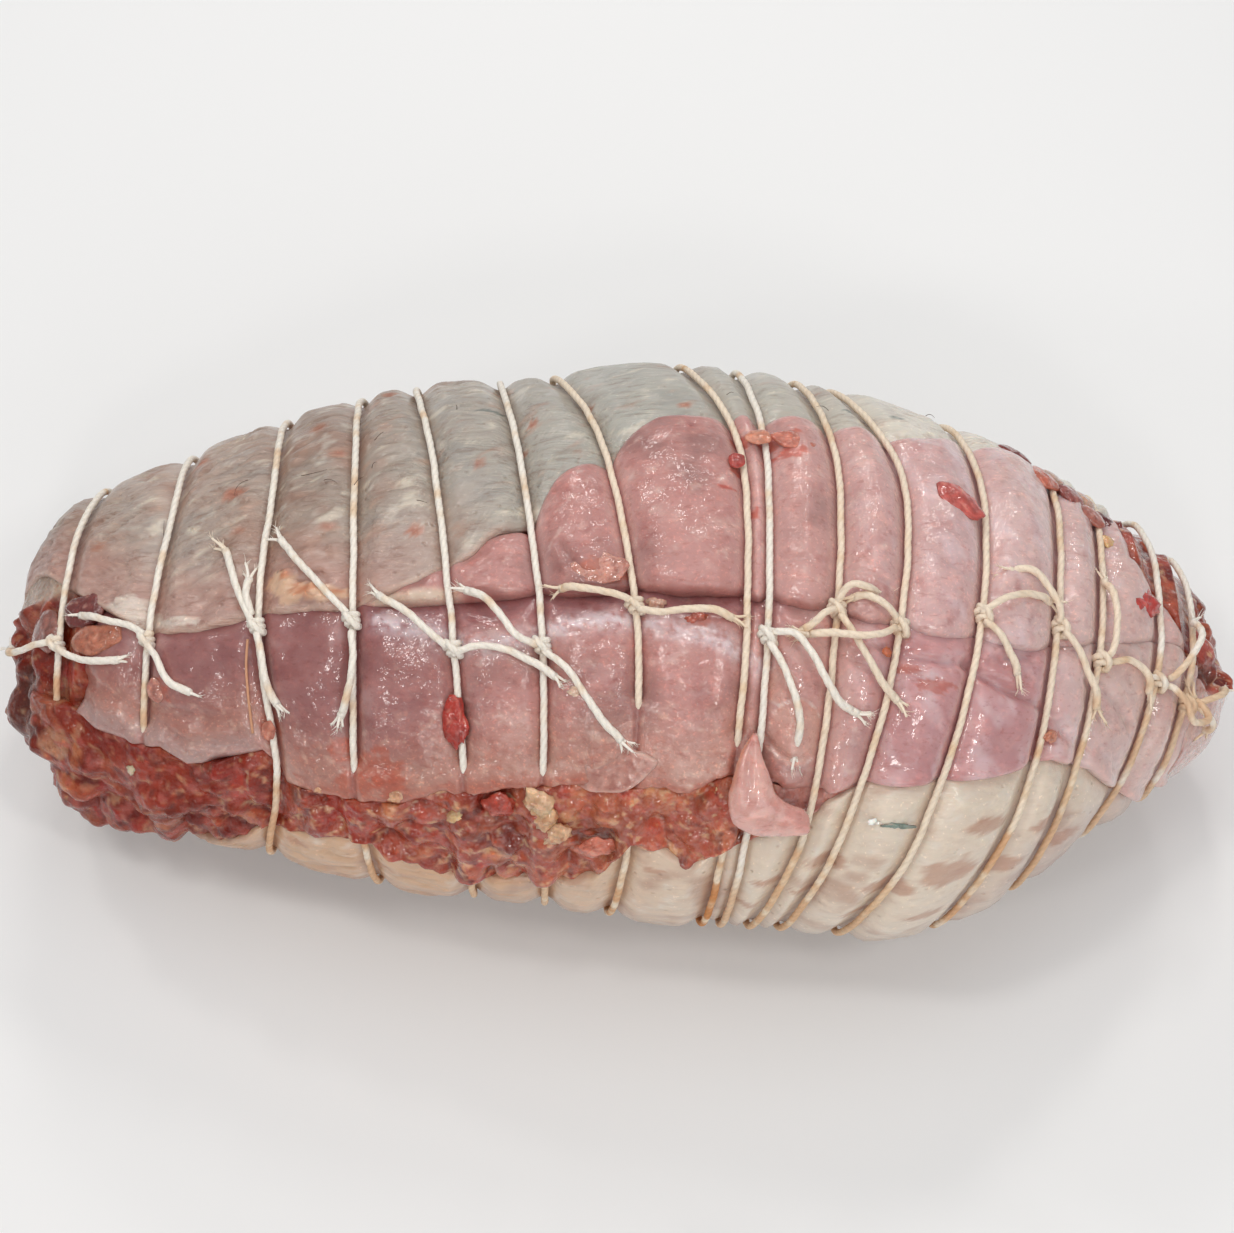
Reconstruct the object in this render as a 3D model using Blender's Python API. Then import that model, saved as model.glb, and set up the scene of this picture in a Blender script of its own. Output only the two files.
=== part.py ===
"""Raw chicken roast: a boned bird rolled round a minced stuffing and tied with string.

The roll lies along X on a small flat of its underside, and every layer is worked out from one
rounded form. A point of the form is named by its turn number t (the poles are 0 and 17, and the
strings are 1 to 16) and by its angle round the roll in degrees (0 faces the front, 90 is the
top, 180 the back and 270 the bottom). Lengths are in millimetres until a mesh is made.
"""

import bmesh
import bpy
import numpy as np

MM = 0.001

# Rolled form, stations along X
LEFT_TIP = -141.5
RIGHT_TIP = 143.0
LEFT_ROUNDING = 22.0
RIGHT_ROUNDING = 24.0
STATIONS = (
    -141.5, -125.0, -105.0, -80.0, -50.0, -20.0, 10.0, 40.0, 65.0, 90.0, 110.0, 125.0, 143.0,
)
HALF_WIDTHS = (31.0, 36.0, 43.0, 51.0, 59.0, 62.0, 66.0, 65.0, 62.0, 52.0, 39.5, 32.0, 27.0)
SIDE_SHIFTS = (6.5, 5.3, 3.8, 4.2, 3.4, 2.5, 2.0, -1.0, -4.5, -2.5, 1.0, 2.5, -1.0)
HEIGHT_TO_WIDTH = 0.78
CENTRE_HEIGHT = 48.0
CENTRE_SAG = 4.0
LEFT_DROOP = 8.0
RIGHT_DROOP = 12.0
HALF_LENGTH = 140.0
SECTION_POWER = 0.94
TABLE_STEPS = 720
NORMAL_STEP_MM = 0.4
NORMAL_STEP_DEGREES = 1.0

# String turns: station of each loop at five seen angles, left to right
STRING_COUNT = 16
PATH_ANGLES = (-10.0, 30.0, 72.0, 105.0, 145.0)
STRING_PATHS = (
    (-124.0, -124.5, -124.0, -123.0, -120.5),
    (-102.0, -103.0, -102.0, -99.5, -99.5),
    (-78.0, -73.0, -77.0, -76.0, -77.0),
    (-54.0, -55.5, -56.0, -57.5, -59.5),
    (-32.0, -32.0, -35.0, -40.0, -46.5),
    (-16.0, -15.5, -16.0, -21.0, -27.0),
    (-1.0, 3.0, 4.0, -2.5, -14.0),
    (19.5, 23.0, 27.0, 27.0, 15.5),
    (23.5, 27.5, 31.5, 32.5, 28.0),
    (30.5, 39.5, 45.5, 48.0, 42.0),
    (37.5, 47.5, 58.5, 62.5, 51.0),
    (50.5, 63.5, 76.0, 80.5, 77.0),
    (72.5, 86.0, 94.5, 98.5, 99.0),
    (90.0, 98.5, 106.0, 109.0, 110.0),
    (107.0, 115.0, 121.5, 123.0, 122.0),
    (121.0, 125.5, 130.5, 132.0, 131.0),
)
KNOT_ANGLES = (67, 68, 69, 70, 64, 65, 73, 0, 69, 76, 75, 79, 77, 67, 58, 47)
KNOTLESS = 8
# Tails of each knot: reach along X, reach down the side and bow, then lift over its neighbours
TAILS = {
    1: ((-12.0, 2.0, 0.4, 0.6), (15.0, 3.0, -2.3, 0.0)),
    2: ((-17.0, -6.0, -1.4, 0.0), (9.0, 11.0, -1.4, 0.0)),
    3: ((-8.0, -16.0, -0.5, 0.0), (5.0, 16.0, -0.1, 0.0)),
    4: ((-17.0, -17.0, -0.4, 0.0), (-2.0, 20.0, 1.0, 1.2)),
    5: ((-16.0, -11.0, -0.9, 0.0), (12.0, 3.0, 1.4, 0.0)),
    6: ((-14.0, -12.0, 0.3, 1.2), (17.0, 19.0, 0.4, 0.0)),
    7: ((-15.0, -3.0, -0.5, 0.0), (20.0, 2.0, 0.3, 0.0)),
    9: ((6.0, 20.0, 2.5, 0.6), (18.0, 13.0, -0.9, 2.2)),
    10: ((-8.0, 4.0, 0.2, 0.8), (11.0, 16.0, -2.4, 0.0)),
    11: ((-9.0, -4.0, -0.8, 0.0), (-18.0, 5.0, -0.2, 3.2)),
    12: ((10.0, -4.0, 1.4, 0.0), (7.0, 12.0, 1.1, 0.0)),
    13: ((-9.0, -10.0, -1.6, 0.0), (7.0, 17.0, 0.9, 0.0)),
    14: ((2.0, -17.0, -0.3, 0.0), (9.0, 9.0, 2.4, 0.0)),
    15: ((8.0, -20.0, -1.7, 3.0), (4.0, 7.0, -2.5, 2.2)),
    16: ((10.0, -3.0, 0.4, 0.8), (4.0, 9.0, 0.5, 0.0)),
}

# Edges of the layers as an angle at each station
SKIN_EDGE = (
    (-141, 112), (-132, 104), (-125, 92), (-114, 82), (-102, 72), (-90, 71), (-76, 75), (-58, 75),
    (-49, 77), (-40, 81), (-31, 85), (-19, 91), (-12, 97), (-4, 102), (9, 110), (27, 116),
    (49, 118), (63, 120), (77, 128), (89, 132), (100, 134), (112, 132), (143, 130),
)
SEAM = (
    (-141, 70), (-125, 75), (-114, 79), (-102, 71), (-76, 73), (-46, 73), (-18, 76), (30, 77),
    (57, 75), (72, 74), (90, 71), (110, 72), (125, 74), (143, 74),
)
FRONT_EDGE = (
    (-141, 46), (-122, 44), (-114, 36), (-99, 33), (-93, 28), (-81, 33), (-76, 35), (-71, 26),
    (-57, 26), (-46, 26), (-37, 31), (-27, 31), (-16, 34), (7, 36), (15, 35), (23, 40),
    (34, 38), (44, 38), (52, 42), (69, 43), (93, 42), (103, 32), (109, 18), (118, -4), (143, -20),
)
FRONT_SKIN_EDGE = (
    (-141, -30), (-110, -29), (-96, -20), (-86, -7), (-77, 7), (-62, 12), (-53, 12), (-46, 8), (-37, 1),
    (-25, 1), (-14, 4), (-5, 8), (3, 21), (9, 21), (15, 16), (23, 22), (34, 29),
    (44, 35), (52, 40), (69, 42), (93, 41), (103, 31), (109, 17), (118, -5), (143, -21),
)
SLIT_DEGREES = 1.8
EDGE_SAMPLES = 3401
EDGE_PASSES = 8
END_PASSES = 14
RING_PASSES = 4
# Turn number where the wrapped layers stop at each open end, by angle
LEFT_END = (
    (-90, 0.5), (-40, 0.6), (-25, 0.9), (20, 1.22), (76, 1.25), (112, 0.45), (200, 0.45), (270, 0.5),
)
RIGHT_END = (
    (-90, 15.9), (-30, 16.3), (70, 16.35), (85, 15.8), (105, 14.6), (135, 14.45), (200, 15.3),
    (270, 15.9),
)

# Layers
SKIN_THICKNESS = 3.6
LAYER_GAP = 0.6
CORE_SHARE = 0.57
SHELL_SHARE = 0.60
EDGE_GAP_DEGREES = 0.6
END_GAP = 1.0
END_SINK = 3.1
END_SINK_REACH = 8.0
RING_MARGIN = 1.2
RIM_STEP = 0.02
SAME_RING = 0.05

# Strings and the grooves that they press
STRING_RADIUS = 0.85
STRING_SIDES = 5
STRING_RISE = 1.5
GROOVE_DEPTH = 1.8
UNDERSIDE_GROOVE_DEPTH = 2.5
UNDERSIDE_HEIGHT = 3.0
GROOVE_SLOPE = 0.68
UNDERSIDE_SLOPE = 0.8
MINCE_GROOVE = 0.6
SHOULDER = 3.2
SHOULDER_SHARE = 0.3
NARROW_TURN = 14.5
NARROW_ANGLE = 72.0
MIDWAY = 0.5
COARSE_TURNS = (3, 13)
KNOT_RADIUS = 2.1
KNOT_RINGS = 4
KNOT_SIDES = 5
KNOT_LENGTH = 1.15
KNOT_FLATNESS = 0.75
KNOT_LIFT = 0.9
TAIL_RISE = 2.1
TAIL_ARCH = 1.4
TAIL_FALL = 1.1
TAIL_GIRTH = 0.89
TAIL_SIDES = 4
TAIL_POINTS = 4
OPEN_END_TURNS = (1.5, 14.5)
LEAST_LOOP_STEP = 3.0

# Outer relief of each layer, millimetres over the form
SKIN_LEVEL = 0.3
SKIN_PUFF = 0.6
FULL_PUFF_WIDTH = 16.0
LOBE_PUFF = 0.6
FRONT_PUFF = 0.5
LOBE_RAMP = ((0.0, -0.8), (0.15, 1.2), (0.45, 2.6), (0.8, 1.6), (1.0, -4.2))
LOBE_STATIONS = ((-120, -0.6), (-50, -0.2), (-20, 0.7), (0, 1.0), (90, 1.0), (110, 0.7), (143, 0.4))
FRONT_RAMP = ((0.0, -4.2), (0.15, 0.2), (0.5, 1.6), (0.85, 1.2), (1.0, -0.4))
SEAM_FADE = ((50, 1.0), (85, 0.25))
STUFFING_LEVEL = -2.4
LUMP_COUNT = 190
LUMP_RADII = (4.0, 9.0)
LUMP_HEIGHTS = (0.25, 0.75)
LUMP_SEED = 11
DOME_RINGS = (0.06, 0.2)
POLE_BULGE = 0.9

# Hanging flap of meat: left and right edges as angle and station, with the half thickness
FLAP_ACROSS = (
    ((49.5, 27.4), (49.5, 29.0), 1.3), ((45.5, 25.1), (45.5, 30.1), 2.1), ((41, 23.6), (41.8, 31.6), 2.7),
    ((36.5, 23.2), (38.7, 33.1), 3.0), ((31.5, 24.0), (37.5, 34.6), 2.9), ((29.2, 28.0), (36.8, 36.3), 2.6),
    ((29.2, 34.0), (36.0, 38.2), 2.2), ((29.2, 40.0), (35.0, 39.8), 1.8),
)
FLAP_SIDES = 10
FLAP_LIFT = 2.3
FLAP_THICK_SHARE = 0.9


def spline(xs, ys, x):
    """Smooth curve through the stations."""
    xs = np.asarray(xs, float)
    ys = np.asarray(ys, float)
    slope = np.gradient(ys, xs)
    i = np.clip(np.searchsorted(xs, x) - 1, 0, len(xs) - 2)
    step = xs[i + 1] - xs[i]
    t = np.clip((x - xs[i]) / step, 0, 1)
    start = (2 * t**3 - 3 * t**2 + 1) * ys[i] + (t**3 - 2 * t**2 + t) * step * slope[i]
    end = (3 * t**2 - 2 * t**3) * ys[i + 1] + (t**3 - t**2) * step * slope[i + 1]
    return start + end


def table(pairs, x):
    """Straight lines through pairs of station and value."""
    xs, ys = np.array(pairs, float).T
    return np.interp(x, xs, ys)


def turn_stations():
    """Station of every turn at every half degree, from the bottom right round to the bottom."""
    angles = np.arange(TABLE_STEPS) * 360 / TABLE_STEPS - 90
    rows = [np.full(TABLE_STEPS, LEFT_TIP)]
    for path in STRING_PATHS:
        foot, crown = path[0], path[-1]
        back = (2 * crown + foot) / 3
        bottom = (crown + 2 * foot) / 3
        around = np.array(PATH_ANGLES + (215.0, 270.0))
        values = np.array(path + (back, bottom))
        xs = np.concatenate([around - 360, around, around + 360])
        rows.append(spline(xs, np.tile(values, 3), angles))
    rows.append(np.full(TABLE_STEPS, RIGHT_TIP))
    return np.array(rows)


TURNS = turn_stations()
LAST_TURN = STRING_COUNT + 1


def turn_row(k, angle):
    place = (np.asarray(angle, float) + 90) % 360 * TABLE_STEPS / 360
    low = place.astype(int) % TABLE_STEPS
    share = place - np.floor(place)
    return TURNS[k, low] * (1 - share) + TURNS[k, (low + 1) % TABLE_STEPS] * share


def station(t, angle):
    """Station along X of turn t at this angle."""
    t = np.asarray(t, float)
    k = np.clip(np.floor(t).astype(int), 0, LAST_TURN - 1)
    return turn_row(k, angle) * (k + 1 - t) + turn_row(k + 1, angle) * (t - k)


def rounding(share):
    share = np.clip(share, 0, 1)
    return np.sqrt(1 - (1 - share) ** 2)


def centre(x):
    reach = np.abs(x) / HALF_LENGTH
    droop = np.where(x > 0, RIGHT_DROOP, LEFT_DROOP)
    y = spline(STATIONS, SIDE_SHIFTS, x)
    return y, CENTRE_HEIGHT - CENTRE_SAG * reach**2 - droop * reach**3


def form(x, angle):
    """Point of the plain rolled form."""
    x = np.asarray(x, float)
    ends = rounding((x - LEFT_TIP) / LEFT_ROUNDING) * rounding((RIGHT_TIP - x) / RIGHT_ROUNDING)
    half = spline(STATIONS, HALF_WIDTHS, x) * ends
    middle, height = centre(x)
    across = np.cos(np.radians(angle))
    upward = np.sin(np.radians(angle))
    y = middle - half * np.sign(across) * np.abs(across) ** SECTION_POWER
    z = height + HEIGHT_TO_WIDTH * half * np.sign(upward) * np.abs(upward) ** SECTION_POWER
    return np.stack([x + 0 * y, y, np.maximum(z, 0)], -1)


def normal(x, angle):
    """Outward direction of the form, from small differences."""
    after = form(np.minimum(x + NORMAL_STEP_MM, RIGHT_TIP), angle)
    before = form(np.maximum(x - NORMAL_STEP_MM, LEFT_TIP), angle)
    around = form(x, angle + NORMAL_STEP_DEGREES) - form(x, angle - NORMAL_STEP_DEGREES)
    n = np.cross(around, after - before)
    length = np.linalg.norm(n, axis=-1, keepdims=True)
    return -n / np.maximum(length, 1e-9)


def underside(x, angle):
    """Share of the way from the sides (0) to the flat that the roll rests on (1)."""
    return np.clip(1 - form(x, angle)[..., 2] / UNDERSIDE_HEIGHT, 0, 1)


def groove_floor(x, angle):
    """Height of the bottom of a string's groove, deeper on the underside."""
    return -GROOVE_DEPTH - (UNDERSIDE_GROOVE_DEPTH - GROOVE_DEPTH) * underside(x, angle)


def string_distance(t, angle):
    """Distance along X to the nearest string, the width of the turn and the place in it."""
    t = np.asarray(t, float)
    k = np.clip(np.floor(t).astype(int), 0, LAST_TURN - 1)
    f = t - k
    width = turn_row(k + 1, angle) - turn_row(k, angle)
    before = np.where(k == 0, 1e3, f * width)
    after = np.where(k == LAST_TURN - 1, 1e3, (1 - f) * width)
    return np.minimum(before, after), width, f


def lumps():
    """Seeded places and sizes of the lumps of mince."""
    draw = np.random.default_rng(LUMP_SEED)
    x = draw.uniform(LEFT_TIP, RIGHT_TIP, LUMP_COUNT)
    x[: LUMP_COUNT // 3] = draw.uniform(LEFT_TIP, -110, LUMP_COUNT // 3)
    x[-LUMP_COUNT // 6 :] = draw.uniform(108, RIGHT_TIP, len(x[-LUMP_COUNT // 6 :]))
    angle = draw.uniform(-40, 130, LUMP_COUNT)
    radius = draw.uniform(*LUMP_RADII, LUMP_COUNT)
    return form(x, angle), radius, draw.uniform(*LUMP_HEIGHTS, LUMP_COUNT)


LUMPS = lumps()


def lump_height(x, angle):
    points = form(x, angle)
    best = np.zeros(points.shape[:-1])
    for place, radius, height in zip(*LUMPS):
        share = 1 - np.sum((points - place) ** 2, axis=-1) / radius**2
        best = np.maximum(best, height * radius * np.clip(share, 0, 1))
    return best


def level(layer, t, angle, x):
    """Height of a layer's outer face over the form, without the grooves of the strings."""
    _, width, f = string_distance(t, angle)
    puff = np.sin(np.pi * f) * np.minimum(1, width / FULL_PUFF_WIDTH)
    if layer == "skin":
        return SKIN_LEVEL + SKIN_PUFF * puff
    if layer == "stuffing":
        return STUFFING_LEVEL + lump_height(x, angle)
    top, seam, front = table(SKIN_EDGE, x), table(SEAM, x), table(FRONT_EDGE, x)
    fade = table(SEAM_FADE, x)
    if layer == "back":
        share = (top - angle) / np.maximum(top - seam, SLIT_DEGREES)
        ramp = table(LOBE_RAMP, share)
        ramp = np.where((share > 0.8) & (ramp < 1), 1 + (ramp - 1) * fade, ramp)
        swell = table(LOBE_STATIONS, x) * (1 - LOBE_PUFF + LOBE_PUFF * puff)
        return ramp * np.where(ramp > 0, swell, 1)
    share = (seam - angle) / np.maximum(seam - front, 1)
    ramp = table(FRONT_RAMP, share)
    ramp = np.where((share < 0.15) & (ramp < 1), 1 + (ramp - 1) * fade, ramp)
    return ramp * np.where(ramp > 0, 1 - FRONT_PUFF + FRONT_PUFF * puff, 1)


def outer(layer, t, angle, sink=0.0):
    """Point of a layer's outer face."""
    x = station(t, angle)
    distance = string_distance(t, angle)[0]
    height = level(layer, t, angle, x) - sink
    floor = groove_floor(x, angle) - (MINCE_GROOVE if layer == "stuffing" else 0)
    slope = GROOVE_SLOPE + (UNDERSIDE_SLOPE - GROOVE_SLOPE) * underside(x, angle)
    height = np.minimum(height, floor + slope * distance)
    points = form(x, angle) + normal(x, angle) * height[..., None]
    points[..., 2] = np.maximum(points[..., 2], 0)
    return points


def below(t, angle, depth):
    """Point at a depth under the form."""
    x = station(t, angle)
    return form(x, angle) - normal(x, angle) * depth


def inner(t, angle, share):
    """Point of the form drawn in towards the centre line."""
    x = station(t, angle)
    points = form(x, angle)
    y, z = centre(x)
    middle = np.stack([points[..., 0], y + 0 * points[..., 1], z + 0 * points[..., 2]], -1)
    return middle + share * (points - middle)


def edge(pairs, t):
    """Angle of a layer's edge on turn t."""
    angle = np.full(np.shape(t), np.mean([pair[1] for pair in pairs]))
    for _ in range(EDGE_PASSES):
        angle = table(pairs, station(t, angle))
    return angle


def edge_rows():
    t = np.linspace(0, LAST_TURN, EDGE_SAMPLES)
    skin = edge(SKIN_EDGE, t)
    seam = np.minimum(edge(SEAM, t), skin - SLIT_DEGREES)
    front = edge(FRONT_EDGE, t)
    front_skin = np.minimum(edge(FRONT_SKIN_EDGE, t), front - SLIT_DEGREES)
    return t, (skin, seam, front, front_skin)


EDGE_ROWS = edge_rows()


def edges(t):
    """Angles of the skin's edge, the seam, the front panel's foot and the front skin's edge."""
    return [np.interp(t, EDGE_ROWS[0], row) for row in EDGE_ROWS[1]]


def end_turn(pairs, angle):
    return table(pairs, (np.asarray(angle, float) + 90) % 360 - 90)


# Rings: a turn number with an offset that depends on how near the next string is
def ring_list(first_coarse, last_coarse):
    """Rings of every turn: three at each string, or one within the coarse turns."""
    rings = [(0, MIDWAY)]
    for k in range(1, STRING_COUNT + 1):
        fine = not first_coarse <= k <= last_coarse
        if fine:
            rings += [(k, -SHOULDER), (k, 0.0), (k, SHOULDER)]
        else:
            rings.append((k, 0.0))
        width = turn_row(k + 1, NARROW_ANGLE) - turn_row(k, NARROW_ANGLE)
        wide = k == STRING_COUNT or width > NARROW_TURN
        if fine and wide:
            rings.append((k, MIDWAY))
    return rings


def ring_turn(ring, angle):
    k, offset = ring
    if offset == 0:
        return k + 0.0 * angle
    if offset == MIDWAY:
        return k + MIDWAY + 0.0 * angle
    neighbour = k if offset > 0 else k - 1
    width = turn_row(neighbour + 1, angle) - turn_row(neighbour, angle)
    return k + np.sign(offset) * np.minimum(SHOULDER_SHARE, SHOULDER / width)


def line_turns(rings, angle_of, low, high):
    """Turns and angles along one line: its first end, the rings between and its last end."""
    first = end_on_line(low, angle_of, OPEN_END_TURNS[0])
    last = end_on_line(high, angle_of, OPEN_END_TURNS[1])
    turns = [first] + [t for t in rings_on_line(rings, angle_of, first, last)] + [last]
    return np.array(turns), np.array([float(angle_of(np.array(t))) for t in turns])


def rings_on_line(rings, angle_of, first, last):
    """Turn numbers of the rings that cross a line clear of both of its ends."""
    kept = []
    for ring in rings:
        t = float(ring[0])
        for _ in range(RING_PASSES):
            angle = angle_of(np.array(t))
            t = float(ring_turn(ring, angle))
        margin = RING_MARGIN / turn_width(t, angle)
        if first + margin < t < last - margin:
            kept.append(t)
    return kept


def turn_width(t, angle):
    """Millimetres along X from half a turn before to half a turn after."""
    after = station(min(t + MIDWAY, LAST_TURN), angle)
    return float(after - station(max(t - MIDWAY, 0.0), angle))


class Shell:
    """Vertices and faces of one closed mesh."""

    def __init__(self):
        self.points = []
        self.faces = []

    def add(self, points):
        first = len(self.points)
        self.points.extend(np.asarray(points).reshape(-1, 3))
        return list(range(first, len(self.points)))

    def strip(self, a, b, at_a, at_b):
        """Triangles between two lines of vertices, in step with their turn numbers.

        Where both lines come to the same ring, the shorter diagonal is taken.
        """
        i = j = 0
        while i < len(a) - 1 or j < len(b) - 1:
            if i < len(a) - 1 and j < len(b) - 1:
                ahead = at_a[i + 1] - at_b[j + 1]
                if abs(ahead) < SAME_RING:
                    ahead = self.span(a[i + 1], b[j]) - self.span(a[i], b[j + 1])
            if j == len(b) - 1 or (i < len(a) - 1 and ahead <= 0):
                face = (a[i], a[i + 1], b[j])
                i += 1
            else:
                face = (a[i], b[j + 1], b[j])
                j += 1
            if len(set(face)) == 3:
                self.faces.append(face)

    def span(self, i, j):
        return np.linalg.norm(self.points[i] - self.points[j])

    def bands(self, rows):
        """Faces between closed rings of vertices."""
        for a, b in zip(rows, rows[1:]):
            for i in range(len(a)):
                j = (i + 1) % len(a)
                self.faces.append((a[i], a[j], b[j], b[i]))

    def fan(self, loop, tip):
        for a, b in zip(loop, loop[1:] + loop[:1]):
            self.faces.append((a, b, tip))

    def make(self, name, shift=(0.0, 0.0, 0.0)):
        mesh = bpy.data.meshes.new(name)
        points = (np.array(self.points) + np.array(shift)) * MM
        mesh.from_pydata([tuple(p) for p in points], [], self.faces)
        work = bmesh.new()
        work.from_mesh(mesh)
        bmesh.ops.triangulate(work, faces=work.faces[:])
        bmesh.ops.recalc_face_normals(work, faces=work.faces[:])
        if work.calc_volume(signed=True) < 0:
            bmesh.ops.reverse_faces(work, faces=work.faces[:])
        work.to_mesh(mesh)
        work.free()
        return bpy.data.objects.new(name, mesh)


FINE = ring_list(STRING_COUNT + 1, STRING_COUNT)
COARSE = ring_list(*COARSE_TURNS)


def ends_of(gap=0.0):
    """Turn numbers of the two ends as functions of the angle, moved outwards by a gap."""

    def low(angle):
        t = float(end_turn(LEFT_END, angle))
        return t - gap / turn_width(t, angle)

    def high(angle):
        t = float(end_turn(RIGHT_END, angle))
        return t + gap / turn_width(t, angle)

    return low, high


def end_on_line(bound, angle_of, start):
    """Turn number at which a line meets an open end."""
    t = float(start)
    for _ in range(END_PASSES):
        t = 0.5 * t + 0.5 * bound(float(angle_of(np.array(t))))
    return t


def layer_lines(shell, angle_ofs, ring_lists, point_of):
    """Vertices on each line from one end of the layer to the other, with the turn numbers."""
    low, high = ends_of()
    lines = []
    for angle_of, rings in zip(angle_ofs, ring_lists):
        turns, angles = line_turns(rings, angle_of, low, high)
        lines.append((shell.add(point_of(turns, angles)), turns))
    return lines


def across(lines, n):
    return [line[0][n] for line in lines]


def join(shell, outside, inside):
    """Side walls and end caps between the outer and the inner lines of a layer."""
    for out, ins in ((outside[0], inside[0]), (outside[-1], inside[-1])):
        shell.strip(out[0], ins[0], out[1], ins[1])
    share_out = np.linspace(0, 1, len(outside))
    share_in = np.linspace(0, 1, len(inside))
    for n in (0, -1):
        shell.strip(across(outside, n), across(inside, n), share_out, share_in)


def surface_of(shell, lines):
    """Faces between neighbouring lines, in step with their turn numbers."""
    for a, b in zip(lines, lines[1:]):
        shell.strip(a[0], b[0], a[1], b[1])


def fine_edges(count):
    """Ring lists for a hidden face: coarse inside, fine on the lines that meet another face."""
    return [FINE] + [COARSE] * (count - 2) + [FINE]


def sink_near_ends(turns, angles):
    """How far a layer thins towards its open ends."""
    low, high = ends_of()
    sinks = []
    for t, angle in zip(turns, angles):
        distance = min(t - low(angle), high(angle) - t) * turn_width(t, angle)
        sinks.append(END_SINK * max(0.0, 1 - distance / END_SINK_REACH) ** 2)
    return np.array(sinks)


def between(first, last, share):
    return lambda t: first(t) * (1 - share) + last(t) * share


def turned(line, by):
    return lambda t: line(t) + by


GAP = EDGE_GAP_DEGREES
SKIN_TOP = lambda t: edges(t)[0] + GAP - 360
SKIN_FOOT = lambda t: edges(t)[3] - GAP
BACK_TOP = lambda t: edges(t)[0] - 360
BACK_FOOT = lambda t: edges(t)[3] - GAP
LOBE_TOP = lambda t: edges(t)[0] - GAP
LOBE_FOOT = lambda t: edges(t)[1] + GAP / 2
FRONT_TOP = lambda t: edges(t)[1] - GAP
FRONT_FOOT = lambda t: edges(t)[2] + GAP
WINDOW_TOP = lambda t: np.maximum(edges(t)[2] - GAP, edges(t)[3] + GAP)
WINDOW_FOOT = lambda t: edges(t)[3] + GAP
SKIN_LINES = 13
CORE_SHARES = np.linspace(0, 1, 9)
LOBE_SHARES = (0.0, 0.2, 0.45, 0.75, 1.0)
FRONT_SHARES = (0.0, 0.2, 0.5, 0.8, 1.0)
WINDOW_SHARES = (0.0, 0.2, 0.4, 0.6, 0.8, 1.0)
WINDOW_LOOP_SHARES = (0.4, 0.6)
WINDOW_CLOSED_DEGREES = 4.0


def skin_layer():
    shell = Shell()
    shares = np.linspace(0, 1, SKIN_LINES)
    lines = [between(SKIN_FOOT, SKIN_TOP, s) for s in shares]
    outside = layer_lines(
        shell, lines, [FINE] * len(lines), lambda t, a: outer("skin", t, a, sink_near_ends(t, a))
    )
    inside = layer_lines(
        shell, lines, fine_edges(len(lines)), lambda t, a: below(t, a, SKIN_THICKNESS)
    )
    surface_of(shell, outside)
    surface_of(shell, inside)
    join(shell, outside, inside)
    return shell


def back_layer():
    """Meat under the skin, out in the open between the skin's edge and the seam."""
    shell = Shell()
    shares = np.linspace(0, 1, SKIN_LINES)
    hidden = [between(BACK_FOOT, BACK_TOP, s) for s in shares]
    depth = SKIN_THICKNESS + LAYER_GAP
    covered = layer_lines(
        shell, hidden, fine_edges(len(hidden)), lambda t, a: below(t, a, depth)
    )
    open_lines = [between(LOBE_TOP, LOBE_FOOT, s) for s in LOBE_SHARES]
    lobes = layer_lines(
        shell,
        open_lines,
        [FINE] * len(open_lines),
        lambda t, a: outer("back", t, a, sink_near_ends(t, a)),
    )
    drawn = [between(BACK_FOOT, BACK_TOP, s) for s in CORE_SHARES]
    drawn += [turned(between(LOBE_TOP, LOBE_FOOT, s), -360) for s in LOBE_SHARES[1:]]
    inside = layer_lines(
        shell, drawn, fine_edges(len(drawn)), lambda t, a: inner(t, a, SHELL_SHARE)
    )
    surface_of(shell, covered)
    surface_of(shell, lobes)
    surface_of(shell, inside)
    shell.strip(covered[-1][0], lobes[0][0], covered[-1][1], lobes[0][1])
    shell.strip(covered[0][0], inside[0][0], covered[0][1], inside[0][1])
    shell.strip(lobes[-1][0], inside[-1][0], lobes[-1][1], inside[-1][1])
    for n in (0, -1):
        rim = across(covered, n) + across(lobes, n)
        top = (len(CORE_SHARES) - 1) / (len(drawn) - 1)
        under = np.linspace(0, top - RIM_STEP, len(covered))
        places = np.concatenate([under, np.linspace(top, 1, len(lobes))])
        shell.strip(rim, across(inside, n), places, np.linspace(0, 1, len(inside)))
    return shell


def front_layer():
    shell = Shell()
    outside = layer_lines(
        shell,
        [between(FRONT_TOP, FRONT_FOOT, s) for s in FRONT_SHARES],
        [FINE] * len(FRONT_SHARES),
        lambda t, a: outer("front", t, a, sink_near_ends(t, a)),
    )
    inside = layer_lines(
        shell,
        [between(FRONT_TOP, FRONT_FOOT, s) for s in FRONT_SHARES[::2]],
        fine_edges(len(FRONT_SHARES[::2])),
        lambda t, a: inner(t, a, SHELL_SHARE),
    )
    surface_of(shell, outside)
    surface_of(shell, inside)
    join(shell, outside, inside)
    return shell


def core_lines():
    """Lines of the stuffing under the meat, from the window's top over the back to its foot."""
    lines = [between(FRONT_TOP, FRONT_FOOT, s) for s in (FRONT_SHARES[2], 0.0)]
    lines += [between(LOBE_TOP, LOBE_FOOT, s) for s in LOBE_SHARES[-2::-1]]
    lines += [turned(between(BACK_FOOT, BACK_TOP, s), 360) for s in CORE_SHARES[-2:0:-1]]
    return lines


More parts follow.
